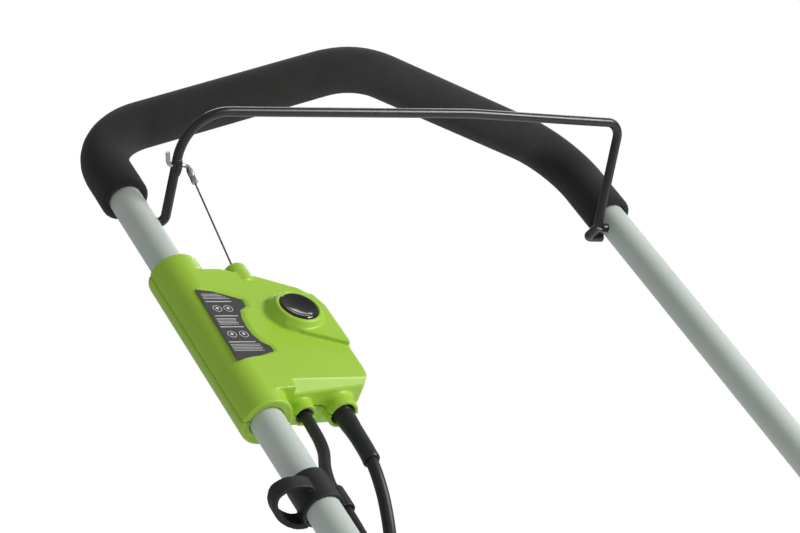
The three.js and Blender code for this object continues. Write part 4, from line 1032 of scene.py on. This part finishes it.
def printed():
    """The label's print, as thin raised ink: plain bars, and rings with a dot."""
    marks = []
    low, high = LABEL_TOP - 0.1, LABEL_TOP + 0.05

    def line(x0, x1, v, thick=0.5):
        marks.append(block((x0, v - thick / 2, low), (x1, v + thick / 2, high)))

    for k in range(4):
        line(-5.5, 9 + 2.2 * k, -112 - 1.7 * k)
    line(-5.5, 15.5, -120.5, 0.9)
    line(-5.5, 13.5, -137.0, 0.9)
    for k in range(5):
        line(-5.8, 10.5 - 0.6 * (k % 3), -140 - 1.6 * k)
    line(-6.5, 12.4, -149.5, 0.9)
    line(-7.5, 14.0, -166.5, 0.9)
    for k in range(5):
        line(-7.5, 17.0 - 1.1 * (k % 2), -169.3 - 1.7 * k)
    for x, v in ((0.5, -128.5), (9.5, -128.5), (-1, -157.8), (8.6, -157.8)):
        marks.append(ring(3.1, 3.6, low, high, "Z", (x, v, 0), 32))
        marks.append(bar(1.3, low, high, "Z", (x, v + 0.3, 0), 20, 0.02))
    return gather(*marks)


label_plate = slab(label_outline, LABEL_LOW, LABEL_TOP)
button()
from_bmesh("label_foil", label_plate, BOX, label_foil, "upper_handle", ["instruction_label"])
from_bmesh("label_print", printed(), BOX, label_ink, "upper_handle", [])
print("button and label ready")

# %% [markdown]
# Inside the box: the lever that the cable pulls, the micro switch it presses, the terminal block for the
# cords, the button's coil spring and two screws. The grommet fills the small ring round the motor lead.
# The spring keeps its length when the button goes in.

# %% Inside the switch box
SPRING_TURNS = 4
SPRING_STEPS = 24  # points in one turn
SPRING_RADIUS = 5.5
SPRING_WIRE = 0.55
SPRING_LOW = -13.5
SPRING_RISE = 20.6
spring_points = []
for step in range(SPRING_TURNS * SPRING_STEPS + 1):
    angle = 2 * math.pi * step / SPRING_STEPS
    spring_points.append((
        BUTTON[0] + SPRING_RADIUS * math.cos(angle), BUTTON[1] + SPRING_RADIUS * math.sin(angle),
        SPRING_LOW + SPRING_RISE * step / (SPRING_TURNS * SPRING_STEPS),
    ))
rod("button_coil_spring", spring_points, SPRING_WIRE, BOX, zinc, "upper_handle", ["button_spring"],
    sides=12)

pressed("switch_lever", BOX, ivory_plastic, "switch_lever", 0.5)
pressed("microswitch", BOX, satin_black, "upper_handle", 0.4)
pressed("terminal_block", BOX, ivory_plastic, "upper_handle", 0.5)
for node in ("box_screw_1", "box_screw_2"):
    pressed(node, BOX, zinc, "upper_handle", 0.25)
grommet = turned([(4.7, -224), (6.2, -224), (6.45, -222), (6.45, -208), (6.2, -206), (4.7, -206)], "Y",
                 (LEAD_X, 0, 0), 56, closed=True)
from_bmesh("lead_grommet_ring", grommet, BOX, cord_jacket, "upper_handle", ["lead_grommet"])
print("inside of the box ready")

# %% [markdown]
# The hook is zinc wire that goes through the paddle's hole and curls back. A pressed ferrule holds the
# pull cable to it. The cable is six fine strands laid round each other.

# %% Cable hook and pull cable
HOOK_WIRE = 1.7
FERRULE_LENGTH = 13
CABLE_INSIDE = 24  # how far the cable goes on inside the box
STRANDS, LAY = 6, 7  # the strands turn once in 7 mm
hook_hole = Matrix.Rotation(math.radians(BAIL_ANGLE), 3, "X") @ Vector((-BAIL_HALF, PADDLE_REACH, 0))
cable_entry = Vector((LEVER[0] - HALF_SPAN, -76, 13))
ferrule_top = hook_hole + Vector((9, -3, -1))
cable_way = (cable_entry - ferrule_top).normalized()
ferrule_end = ferrule_top + FERRULE_LENGTH * cable_way
hook_points = rounded_route([
    hook_hole + Vector((-10, 3, 10)), (*(hook_hole + Vector((-7.5, 0, 0))), 5),
    (ferrule_top.x, hook_hole.y + 0.2, hook_hole.z, 3), ferrule_top + 3 * cable_way,
])
rod("hook_wire", hook_points, HOOK_WIRE, HANDLE, zinc, "bail", ["cable_hook"])
ferrule = turned([
    (0, 0), (2.0, 0), (2.4, 0.5), (2.4, 6.2), (2.2, 6.8), (2.2, 8.2), (2.4, 8.8),
    (2.4, FERRULE_LENGTH - 0.6), (2.0, FERRULE_LENGTH), (0, FERRULE_LENGTH),
], sides=40)
ferrule_place = HANDLE @ Matrix.Translation(ferrule_top) @ facing(cable_way)
from_bmesh("hook_ferrule", ferrule, ferrule_place, zinc, "bail", [])


def pull_cable():
    """Six strands round a core, each a thin helix along the cable's line."""
    start, end = ferrule_end + 0.3 * cable_way, cable_entry + CABLE_INSIDE * cable_way
    length = (end - start).length
    side = cable_way.orthogonal().normalized()
    other = cable_way.cross(side)
    parts = []
    for strand in range(STRANDS):
        points = []
        for k in range(121):
            along = length * k / 120
            angle = 2 * math.pi * (along / LAY + strand / STRANDS)
            out = (side * math.cos(angle) + other * math.sin(angle)) * 0.5
            points.append(start + cable_way * along + out)
        parts.append(curve_to_bmesh(round_curve("strand", points, 0.25, HANDLE, sides=8)))
    line = [start.lerp(end, k / 60) for k in range(61)]
    parts.append(curve_to_bmesh(round_curve("core", line, 0.4, HANDLE, sides=12)))
    piece = closed_rod("pull_cable_strands", gather(*parts), cable_steel)
    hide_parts("pull_cable")
    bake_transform(piece)
    return piece


print(pull_cable().name, "ready")

# %% [markdown]
# Two clips hold the motor lead beside the tubes: the upper one also has an open hook for the extension
# cord. They are thin mouldings, so they are fused with a fine voxel.

# %% Clips
UPPER_CLIP_V = -310
CLIP_REACH = 14
CLIP_OUTER = TUBE + 2.8


def beside_line(line, by):
    """The line moved sideways by a distance, to its left where that is positive."""
    out = []
    for i, point in enumerate(line):
        along = (line[min(i + 1, len(line) - 1)] - line[max(i - 1, 0)]).normalized()
        out.append(point + Vector((-along.y, along.x)) * by)
    return out


def hook_band():
    """The strap of the open hook: out from the collar's front, round, and back to its rear edge."""
    line = smooth_line([(-9, 12.2), (-17, 13.6), (-26, 12.8), (-32.5, 8.4), (-34.6, 1.5), (-32, -5.5),
                        (-25.5, -10.5), (-16, -13.6), (-7, -13.4)], 6)
    half_thick, half_wide = 2.0, 5.5
    front, back = beside_line(line, half_thick), beside_line(line, -half_thick)
    bm = slab([*front, *reversed(back)], -half_wide, half_wide)
    spun(bm, math.pi / 2, "X")
    for vert in bm.verts:
        vert.co.y += 0.45 * min(vert.co.z - 4, 0)
    return bm


def cord_clip(node, v, x, hook):
    """A collar round the tube, a split ring for the lead beside it and, on the upper clip, the hook."""
    low, high = -CLIP_REACH, CLIP_REACH
    holder = ring(LEAD_RADIUS + 0.4, LEAD_RADIUS + 2.2, low, high - 8, "Y", (lead_beside, 0, LEAD_SINK))
    split = block((TUBE + 3, low - 1, LEAD_SINK - 14), (TUBE + 8, high + 1, LEAD_SINK - 3))
    parts = [ring(TUBE + 0.35, CLIP_OUTER, low, high, "Y", sides=96), cut_with(holder, split)]
    if hook:
        parts.append(hook_band())
    place, body = HANDLE @ Matrix.Translation((x, v, 0)), "upper_handle" if hook else "chassis"
    return from_bmesh(f"{node}_moulding", fused(gather(*parts), 0.6, 5), place, satin_black, body, [node],
                      limit=60)


cord_clip("cord_clip_upper", UPPER_CLIP_V, -HALF_SPAN, True)
cord_clip("cord_clip_lower", LOWER_CLIP_V, -LOWER_X, False)
print("clips ready")

# %% [markdown]
# A bolt goes through both tubes at each fold, with a wing knob outside that clamps them. The left knob is
# the right one mirrored, so both are made about the same X and the mirror goes into their place.

# %% Knobs and bolts
KNOB_X = HALF_SPAN + TUBE + 0.3
HEAD_X = LOWER_X - TUBE  # inner side of the lower tube
for side, name in SIDES:
    place = HANDLE @ Matrix.Translation((0, FOLD_V, 0)) @ Matrix.Scale(side, 4, (1, 0, 0))
    hub = turned([
        (4.6, KNOB_X + 0.4), (10.6, KNOB_X + 0.4), (11, KNOB_X + 1), (11, KNOB_X + 17),
        (9.5, KNOB_X + 19.6), (0, KNOB_X + 19.9), (0, KNOB_X + 15.6), (4.6, KNOB_X + 15.6),
    ], sides=64, closed=True)
    knob = fused(gather(packed_bmesh(f"fold_knob_{name}", place), hub), 0.7, 5)
    from_bmesh(f"wing_knob_{name}", knob, place, satin_black, f"fold_knob_{name}", [f"fold_knob_{name}"],
               limit=60)
    stem = bar(4, HEAD_X - 3, HALF_SPAN + TUBE + 14, edge=0.4)
    head = turned([
        (0, HEAD_X - 6), (6.6, HEAD_X - 6), (7.5, HEAD_X - 5.2), (7.5, HEAD_X - 0.3), (0, HEAD_X - 0.3),
    ], sides=6)
    from_bmesh(f"carriage_bolt_{name}", gather(stem, head), place, zinc, "chassis", [f"fold_bolt_{name}"])
    pressed(f"foot_bolt_{name}", ROW, zinc, "chassis", 0.4)
print("knobs and bolts ready")

# %% [markdown]
# The chassis is two pressed steel side plates, held apart by a tie bar and the bed knife's bar, under a
# green hood with vents. The hood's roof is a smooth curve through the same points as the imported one.

# %% Chassis
REEL = (-50, 87)  # reel axis, y and z
MOTOR = (30, 175)
INSIDE, OUTSIDE = 204.7, 209.3  # just clear of a side plate's two faces
SHAFT, BORE = 6, 6.3  # radius of the shafts, and of what turns on them
HOLES = ((*REEL, 20), (*WHEEL, 12), (117, 165, 12), (*MOTOR, 14), (175, 14, 16), (175, 36, 12))
roof_outline = [
    (-124, 104), (-124, 138), (-108, 172), (-72, 200), (-20, 219), (40, 223), (76, 210), (97, 185),
    (104, 150), (105, 118),
]
at_reel = ROW @ Matrix.Translation((0, *REEL))
HOOD_WALL, HOOD_HALF = 3.2, 204.5


def side_plate(name):
    """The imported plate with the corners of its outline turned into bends, and its edges broken."""
    bm = packed_bmesh(f"side_plate_{name}", ROW)
    bmesh.ops.dissolve_limit(bm, angle_limit=math.radians(0.5), verts=bm.verts, edges=bm.edges)
    corners = []
    for edge in bm.edges:
        a, b = (v.co for v in edge.verts)
        in_hole = any(math.hypot(a.y - y, a.z - z) < r for y, z, r in HOLES)
        if abs(a.x - b.x) > 3 and (a.yz - b.yz).length < 0.01 and not in_hole:
            corners.append(edge)
    bmesh.ops.bevel(bm, geom=corners, offset=9, segments=6, profile=0.5, affect="EDGES", material=-1,
                    clamp_overlap=True)
    soften(bm, 0.7, 50, 2)
    return from_bmesh(f"side_plate_{name}_finished", bm, ROW, dark_pressing, "chassis",
                      [f"side_plate_{name}"], limit=40)


def hood_shell():
    roof = smooth_line(roof_outline, 8)
    bm = slab([*roof, *reversed(beside_line(roof, -HOOD_WALL))], -HOOD_HALF, HOOD_HALF, "X")
    port = bar(6.4, 60, 162, "Y", (-120, 0, 188), 40, 0.01)
    vents = [block((30 + k * 14, 10, 205), (36 + k * 14, 62, 240)) for k in range(7)]
    bm = cut_with(bm, port, *vents)
    soften(bm, 0.7, 40, 2)
    return from_bmesh("hood_shell", bm, ROW, green_plastic, "chassis", ["hood"])


hood_shell()
print("hood ready")

# %% [markdown]
# The reel's shaft turns in a ball bearing in each side plate. Only a bearing's three rings can be seen, so
# its balls are left out. Between the plates run the tie bar, the bed knife and its bar.

# %% Plates, bearings and bars
RACES = (
    [(BORE, 200), (9, 200), (9.3, 200.3), (9.3, 209.7), (9, 210), (BORE, 210)],
    [(9.2, 200.9), (12.2, 200.9), (12.2, 209.1), (9.2, 209.1)],
    [(12, 200), (14.7, 200), (15, 200.3), (15, 209.7), (14.7, 210), (12, 210)],
)
for side, name in SIDES:
    side_plate(name)
    rings = [turned(profile, sides=64, closed=True) for profile in RACES]
    place = at_reel @ Matrix.Scale(side, 4, (1, 0, 0))
    from_bmesh(f"ball_bearing_{name}", gather(*rings), place, ground_steel, "reel", [f"reel_bearing_{name}"])
tie = bar(9, -INSIDE, INSIDE, at=(0, 110, 78), sides=64, edge=0.8)
from_bmesh("tie_rod", tie, ROW, dark_pressing, "chassis", ["tie_bar"])
pressed("bed_knife", ROW, ground_steel, "chassis", 0.4)
pressed("bed_bar", ROW, dark_pressing, "chassis", 0.7)
print("chassis ready")

# %% [markdown]
# The motor is a plain cylinder with a rolled end bell and two grooves. The bars round it stay under its
# skin and don't show. Its small pulley drives the reel's large one through a flat belt, under a pan-shaped
# cover outside the left plate.

# %% Motor
FINS = 20
can = turned([
    (4.3, 30), (4.3, -4), (8.6, -4), (8.6, 0), (28, 0), (30, 0.4), (34, 3), (35.6, 7), (36, 10), (36, 24),
    (35, 25), (35, 27), (36, 28), (36, 120), (35, 121), (35, 123), (36, 124), (36, 141), (34.6, 145),
    (30, 149), (27, 150), (0, 150), (0, 30),
], sides=96, closed=True)
fins = [spun(block((36, -0.9, 34), (112, 0.9, 35.8)), 2 * math.pi * k / FINS, "X") for k in range(FINS)]
at_motor = ROW @ Matrix.Translation((0, *MOTOR))
from_bmesh("motor_can", gather(can, *fins), at_motor @ Matrix.Translation((-INSIDE, 0, 0)), dark_pressing,
           "chassis", ["motor"])
print("motor ready")

# %% [markdown]
# The belt's line is two arcs, one round each pulley, and the straight runs that join them. The same line,
# drawn further out, gives the cover.

# %% Belt drive
BELT_PLACE = (-224, -216)
DRIVE_RADIUS, DRIVEN_RADIUS = 12, 36  # floors of the pulleys' grooves
PULLEY_LOW, PULLEY_HIGH = -227, -213
reach = Vector(MOTOR) - Vector(REEL)
belt_angle = math.atan2(reach.y, reach.x)


def belt_line(extra, steps=40):
    """Outline round both pulleys, in (y, z)."""
    lean = math.asin((DRIVEN_RADIUS - DRIVE_RADIUS) / reach.length)
    quarter = math.pi / 2 - lean
    points = []
    for (y, z), radius, low, high in (
        (MOTOR, DRIVE_RADIUS + extra, belt_angle - quarter, belt_angle + quarter),
        (REEL, DRIVEN_RADIUS + extra, belt_angle + quarter, belt_angle + 2 * math.pi - quarter),
    ):
        for k in range(steps + 1):
            angle = low + (high - low) * k / steps
            points.append((y + radius * math.cos(angle), z + radius * math.sin(angle)))
    return points


def hoop(outer, inner, low, high):
    """A closed band between two outlines with the same number of points."""
    bm = bmesh.new()
    rings = [[bm.verts.new((x, y, z)) for y, z in line] for x, line in
             ((low, outer), (high, outer), (high, inner), (low, inner))]
    skin(bm, [*rings, rings[0]])
    bmesh.ops.recalc_face_normals(bm, faces=bm.faces)
    return bm


drive = turned([
    (0, PULLEY_LOW), (14.6, PULLEY_LOW), (15, PULLEY_LOW + 0.4), (15, PULLEY_LOW + 2),
    (DRIVE_RADIUS, PULLEY_LOW + 2.3), (DRIVE_RADIUS, PULLEY_HIGH - 2.3), (15, PULLEY_HIGH - 2),
    (15, PULLEY_HIGH - 0.4), (14.6, PULLEY_HIGH), (0, PULLEY_HIGH),
], sides=72)
stub = bar(4, PULLEY_HIGH - 2, -180.7, edge=0.4)
from_bmesh("drive_pulley", gather(drive, stub), at_motor, ground_steel, "motor_rotor", ["motor_pulley"])
driven = turned([
    (BORE, -227), (38.6, -227), (39, -226.6), (39, -225), (DRIVEN_RADIUS, -224.7), (DRIVEN_RADIUS, -215.3),
    (39, -215), (39, -213.4), (38.6, -213), (30, -213), (28, -216), (14, -216), (12, -213), (BORE, -213),
], sides=96, closed=True)
from_bmesh("driven_pulley", driven, at_reel, satin_black, "reel", ["reel_pulley"])
belt = hoop(belt_line(3.2), belt_line(0.8), *BELT_PLACE)
from_bmesh("toothed_belt", belt, ROW, tyre_rubber, "chassis", ["drive_belt"])


def belt_pan():
    bm = cut_with(slab(belt_line(12), -232, -OUTSIDE, "X"), slab(belt_line(9.5), -229.5, -200, "X"))
    soften(bm, 0.9, 40, 3)
    return from_bmesh("belt_pan", bm, ROW, green_plastic, "chassis", ["belt_cover"])


belt_pan()
print("drive ready")

# %% [markdown]
# The reel: a shaft, three pressed spiders and five helical blades of ground steel. A blade is one flat
# section, carried along the shaft and turned a little at each step, which spin with a rise could do too.

# %% Reel
REEL_RADIUS = 60
BLADES = 5
BLADE_STEPS = 96
BLADE_HALF = 193
BLADE_TWIST = math.radians(60)


def blade_angle(x, index):
    return BLADE_TWIST * x / (2 * BLADE_HALF) + 2 * math.pi * index / BLADES


def reel_blade(index):
    bm = bmesh.new()
    section = [(46.0, -1.2), (46.3, -1.5), (REEL_RADIUS - 1.4, -1.5), (REEL_RADIUS, -0.5),
               (REEL_RADIUS, 1.2), (REEL_RADIUS - 0.3, 1.5), (46.3, 1.5), (46.0, 1.2)]
    rows = []
    for k in range(BLADE_STEPS + 1):
        x = -BLADE_HALF + 2 * BLADE_HALF * k / BLADE_STEPS
        turn = Matrix.Rotation(blade_angle(x, index), 3, "X")
        rows.append([bm.verts.new(turn @ Vector((x, y, z))) for y, z in section])
    skin(bm, rows)
    bm.faces.new(rows[0])
    bm.faces.new(rows[-1])
    return from_bmesh(f"helical_blade_{index + 1}", bm, at_reel, ground_steel, "reel",
                      [f"reel_blade_{index + 1}"], limit=20)


def reel_spider(index, x):
    parts = [ring(BORE, 24, x - 2, x + 2), ring(BORE, 12, x - 7, x + 7)]
    for k in range(BLADES):
        parts.append(spun(block((x - 2, 10, -7), (x + 2, 45.0, 7)), blade_angle(x, k), "X"))
    return from_bmesh(f"spider_{index}", fused(gather(*parts), 0.8, 4), at_reel, dark_pressing, "reel",
                      [f"reel_spider_{index}"], limit=60)


for k in range(BLADES):
    reel_blade(k)
for k, x in enumerate((-150, 0, 150)):
    reel_spider(k + 1, x)
from_bmesh("reel_axle", bar(SHAFT, PULLEY_LOW, 211, edge=0.6), at_reel, ground_steel, "reel", ["reel_shaft"])
print("reel ready")

# %% [markdown]
# Wheels are black mouldings with five holes and a rubber tyre with cross bars. The tread could be cut bar
# by bar, but it is quicker to spin a plain tyre finely and push the gaps between the bars inwards.

# %% Wheels
WHEEL_X = 241
WHEEL_WIDE = 38
RIM = 93
WHEEL_HOLES = 5
TREAD_BARS, TREAD_DEPTH = 36, 2.2


def wheel_disc():
    inner, outer = WHEEL_X, WHEEL_X + WHEEL_WIDE
    profile = [
        (BORE, inner), (16.4, inner), (17, inner + 0.6), (17, inner + 11), (18, inner + 12), (84, inner + 14),
        (85, inner + 13), (85, inner + 2.6), (85.6, inner + 2), (92.4, inner + 2), (RIM, inner + 2.6),
        (RIM, outer - 2.6), (92.4, outer - 2), (87.6, outer - 2), (86.8, outer - 2.6), (85.2, outer - 11),
        (84, outer - 12), (72, outer - 12.6), (70, outer - 11.4), (67, outer - 11.4), (65, outer - 13),
        (38, outer - 13.6), (36, outer - 12.2), (33, outer - 12.2), (31, outer - 13.8), (22.6, outer - 14),
        (21.8, outer - 13), (19.4, outer + 3), (18.6, outer + 4), (BORE, outer + 4),
    ]
    disc = turned(profile, sides=120, closed=True)
    holes = []
    for k in range(WHEEL_HOLES):
        angle = 2 * math.pi * k / WHEEL_HOLES + math.pi / 24
        at = (0, 52 * math.cos(angle), 52 * math.sin(angle))
        holes.append(bar(14, inner - 10, outer + 10, "X", at, 48, 0.01))
    bm = cut_with(disc, *holes)
    soften(bm, 0.5, 50, 2)
    return bm


def tyre():
    """A tread of cross bars, and a rounded shoulder on each side."""
    inner, outer = WHEEL_X, WHEEL_X + WHEEL_WIDE
    middle = (inner + outer) / 2
    profile = [
        (93.2, inner + 1.2), (94.5, inner + 0.2), (99.5, inner + 0.2), (102.2, inner + 2), (103.6, inner + 5),
        (104.8, inner + 7), (104.9, middle - 3), (104.9, middle - 2), (104.9, middle + 2),
        (104.9, middle + 3), (104.8, outer - 7), (103.6, outer - 5), (102.2, outer - 2),
        (99.5, outer - 0.2), (94.5, outer - 0.2), (93.2, outer - 1.2),
    ]
    bm = turned(profile, sides=8 * TREAD_BARS, closed=True)
    for vert in bm.verts:
        reach_out = math.hypot(vert.co.y, vert.co.z)
        if reach_out < 102.9:
            continue
        turns = math.atan2(vert.co.z, vert.co.y) / (2 * math.pi)
        phase = (turns * TREAD_BARS + (0.5 if vert.co.x > middle else 0)) % 1
        if phase > 0.70 or abs(vert.co.x - middle) < 2.5:
            vert.co.y *= 1 - TREAD_DEPTH / reach_out
            vert.co.z *= 1 - TREAD_DEPTH / reach_out
    return bm


at_wheel = ROW @ Matrix.Translation((0, *WHEEL))
for side, name in SIDES:
    place, body = at_wheel @ Matrix.Scale(side, 4, (1, 0, 0)), f"{name}_wheel"
    from_bmesh(f"wheel_disc_{name}", wheel_disc(), place, satin_black, body, [f"wheel_{name}"])
    from_bmesh(f"rubber_tyre_{name}", tyre(), place, tyre_rubber, body, [f"tyre_{name}"])
    axle = turned([
        (0, 197), (5.4, 197), (SHAFT, 197.6), (SHAFT, OUTSIDE), (9.6, OUTSIDE), (10, OUTSIDE + 0.4),
        (10, 239.6), (9.6, 240), (SHAFT, 240), (SHAFT, 281), (5, 282), (0, 282),
    ], sides=56)
    from_bmesh(f"stub_axle_{name}", axle, place, zinc, "chassis", [f"wheel_axle_{name}"])
print("wheels ready")

# %% [markdown]
# The roller at the back is a plain black drum with shallow rings, on a rod with a collar on each side of
# each plate. Its height sets the cut. The rings are steps in the one profile that is spun.

# %% Roller
ROLLER = (175, 32)  # roller axle, y and z
DRUM_RADIUS, DRUM_HALF, DRUM_RINGS = 31.9, 178, 11
at_roller = ROW @ Matrix.Translation((0, *ROLLER))
drum = [(BORE, -DRUM_HALF), (29.6, -DRUM_HALF), (31.4, -177.4), (DRUM_RADIUS, -176)]
for k in range(DRUM_RINGS):
    x = -160 + 32 * k
    drum += [(DRUM_RADIUS, x - 1.6), (30.9, x - 0.8), (30.9, x + 0.8), (DRUM_RADIUS, x + 1.6)]
drum += [(DRUM_RADIUS, 176), (31.4, 177.4), (29.6, DRUM_HALF), (BORE, DRUM_HALF)]
from_bmesh("roller_drum", turned(drum, sides=120, closed=True), at_roller, satin_black, "roller",
           ["rear_roller"])
roller_parts = [bar(SHAFT, -217, 217, edge=0.6)]
for side in (-1, 1):
    for low, high in ((OUTSIDE, 218), (182, INSIDE)):
        ends = sorted((side * low, side * high))
        roller_parts.append(bar(11, *ends, edge=0.5))
from_bmesh("roller_rod", gather(*roller_parts), at_roller, zinc, "roller_carriage", ["roller_axle"])
print("roller ready")

# %% [markdown] The dressed mower

print("the mower is dressed")
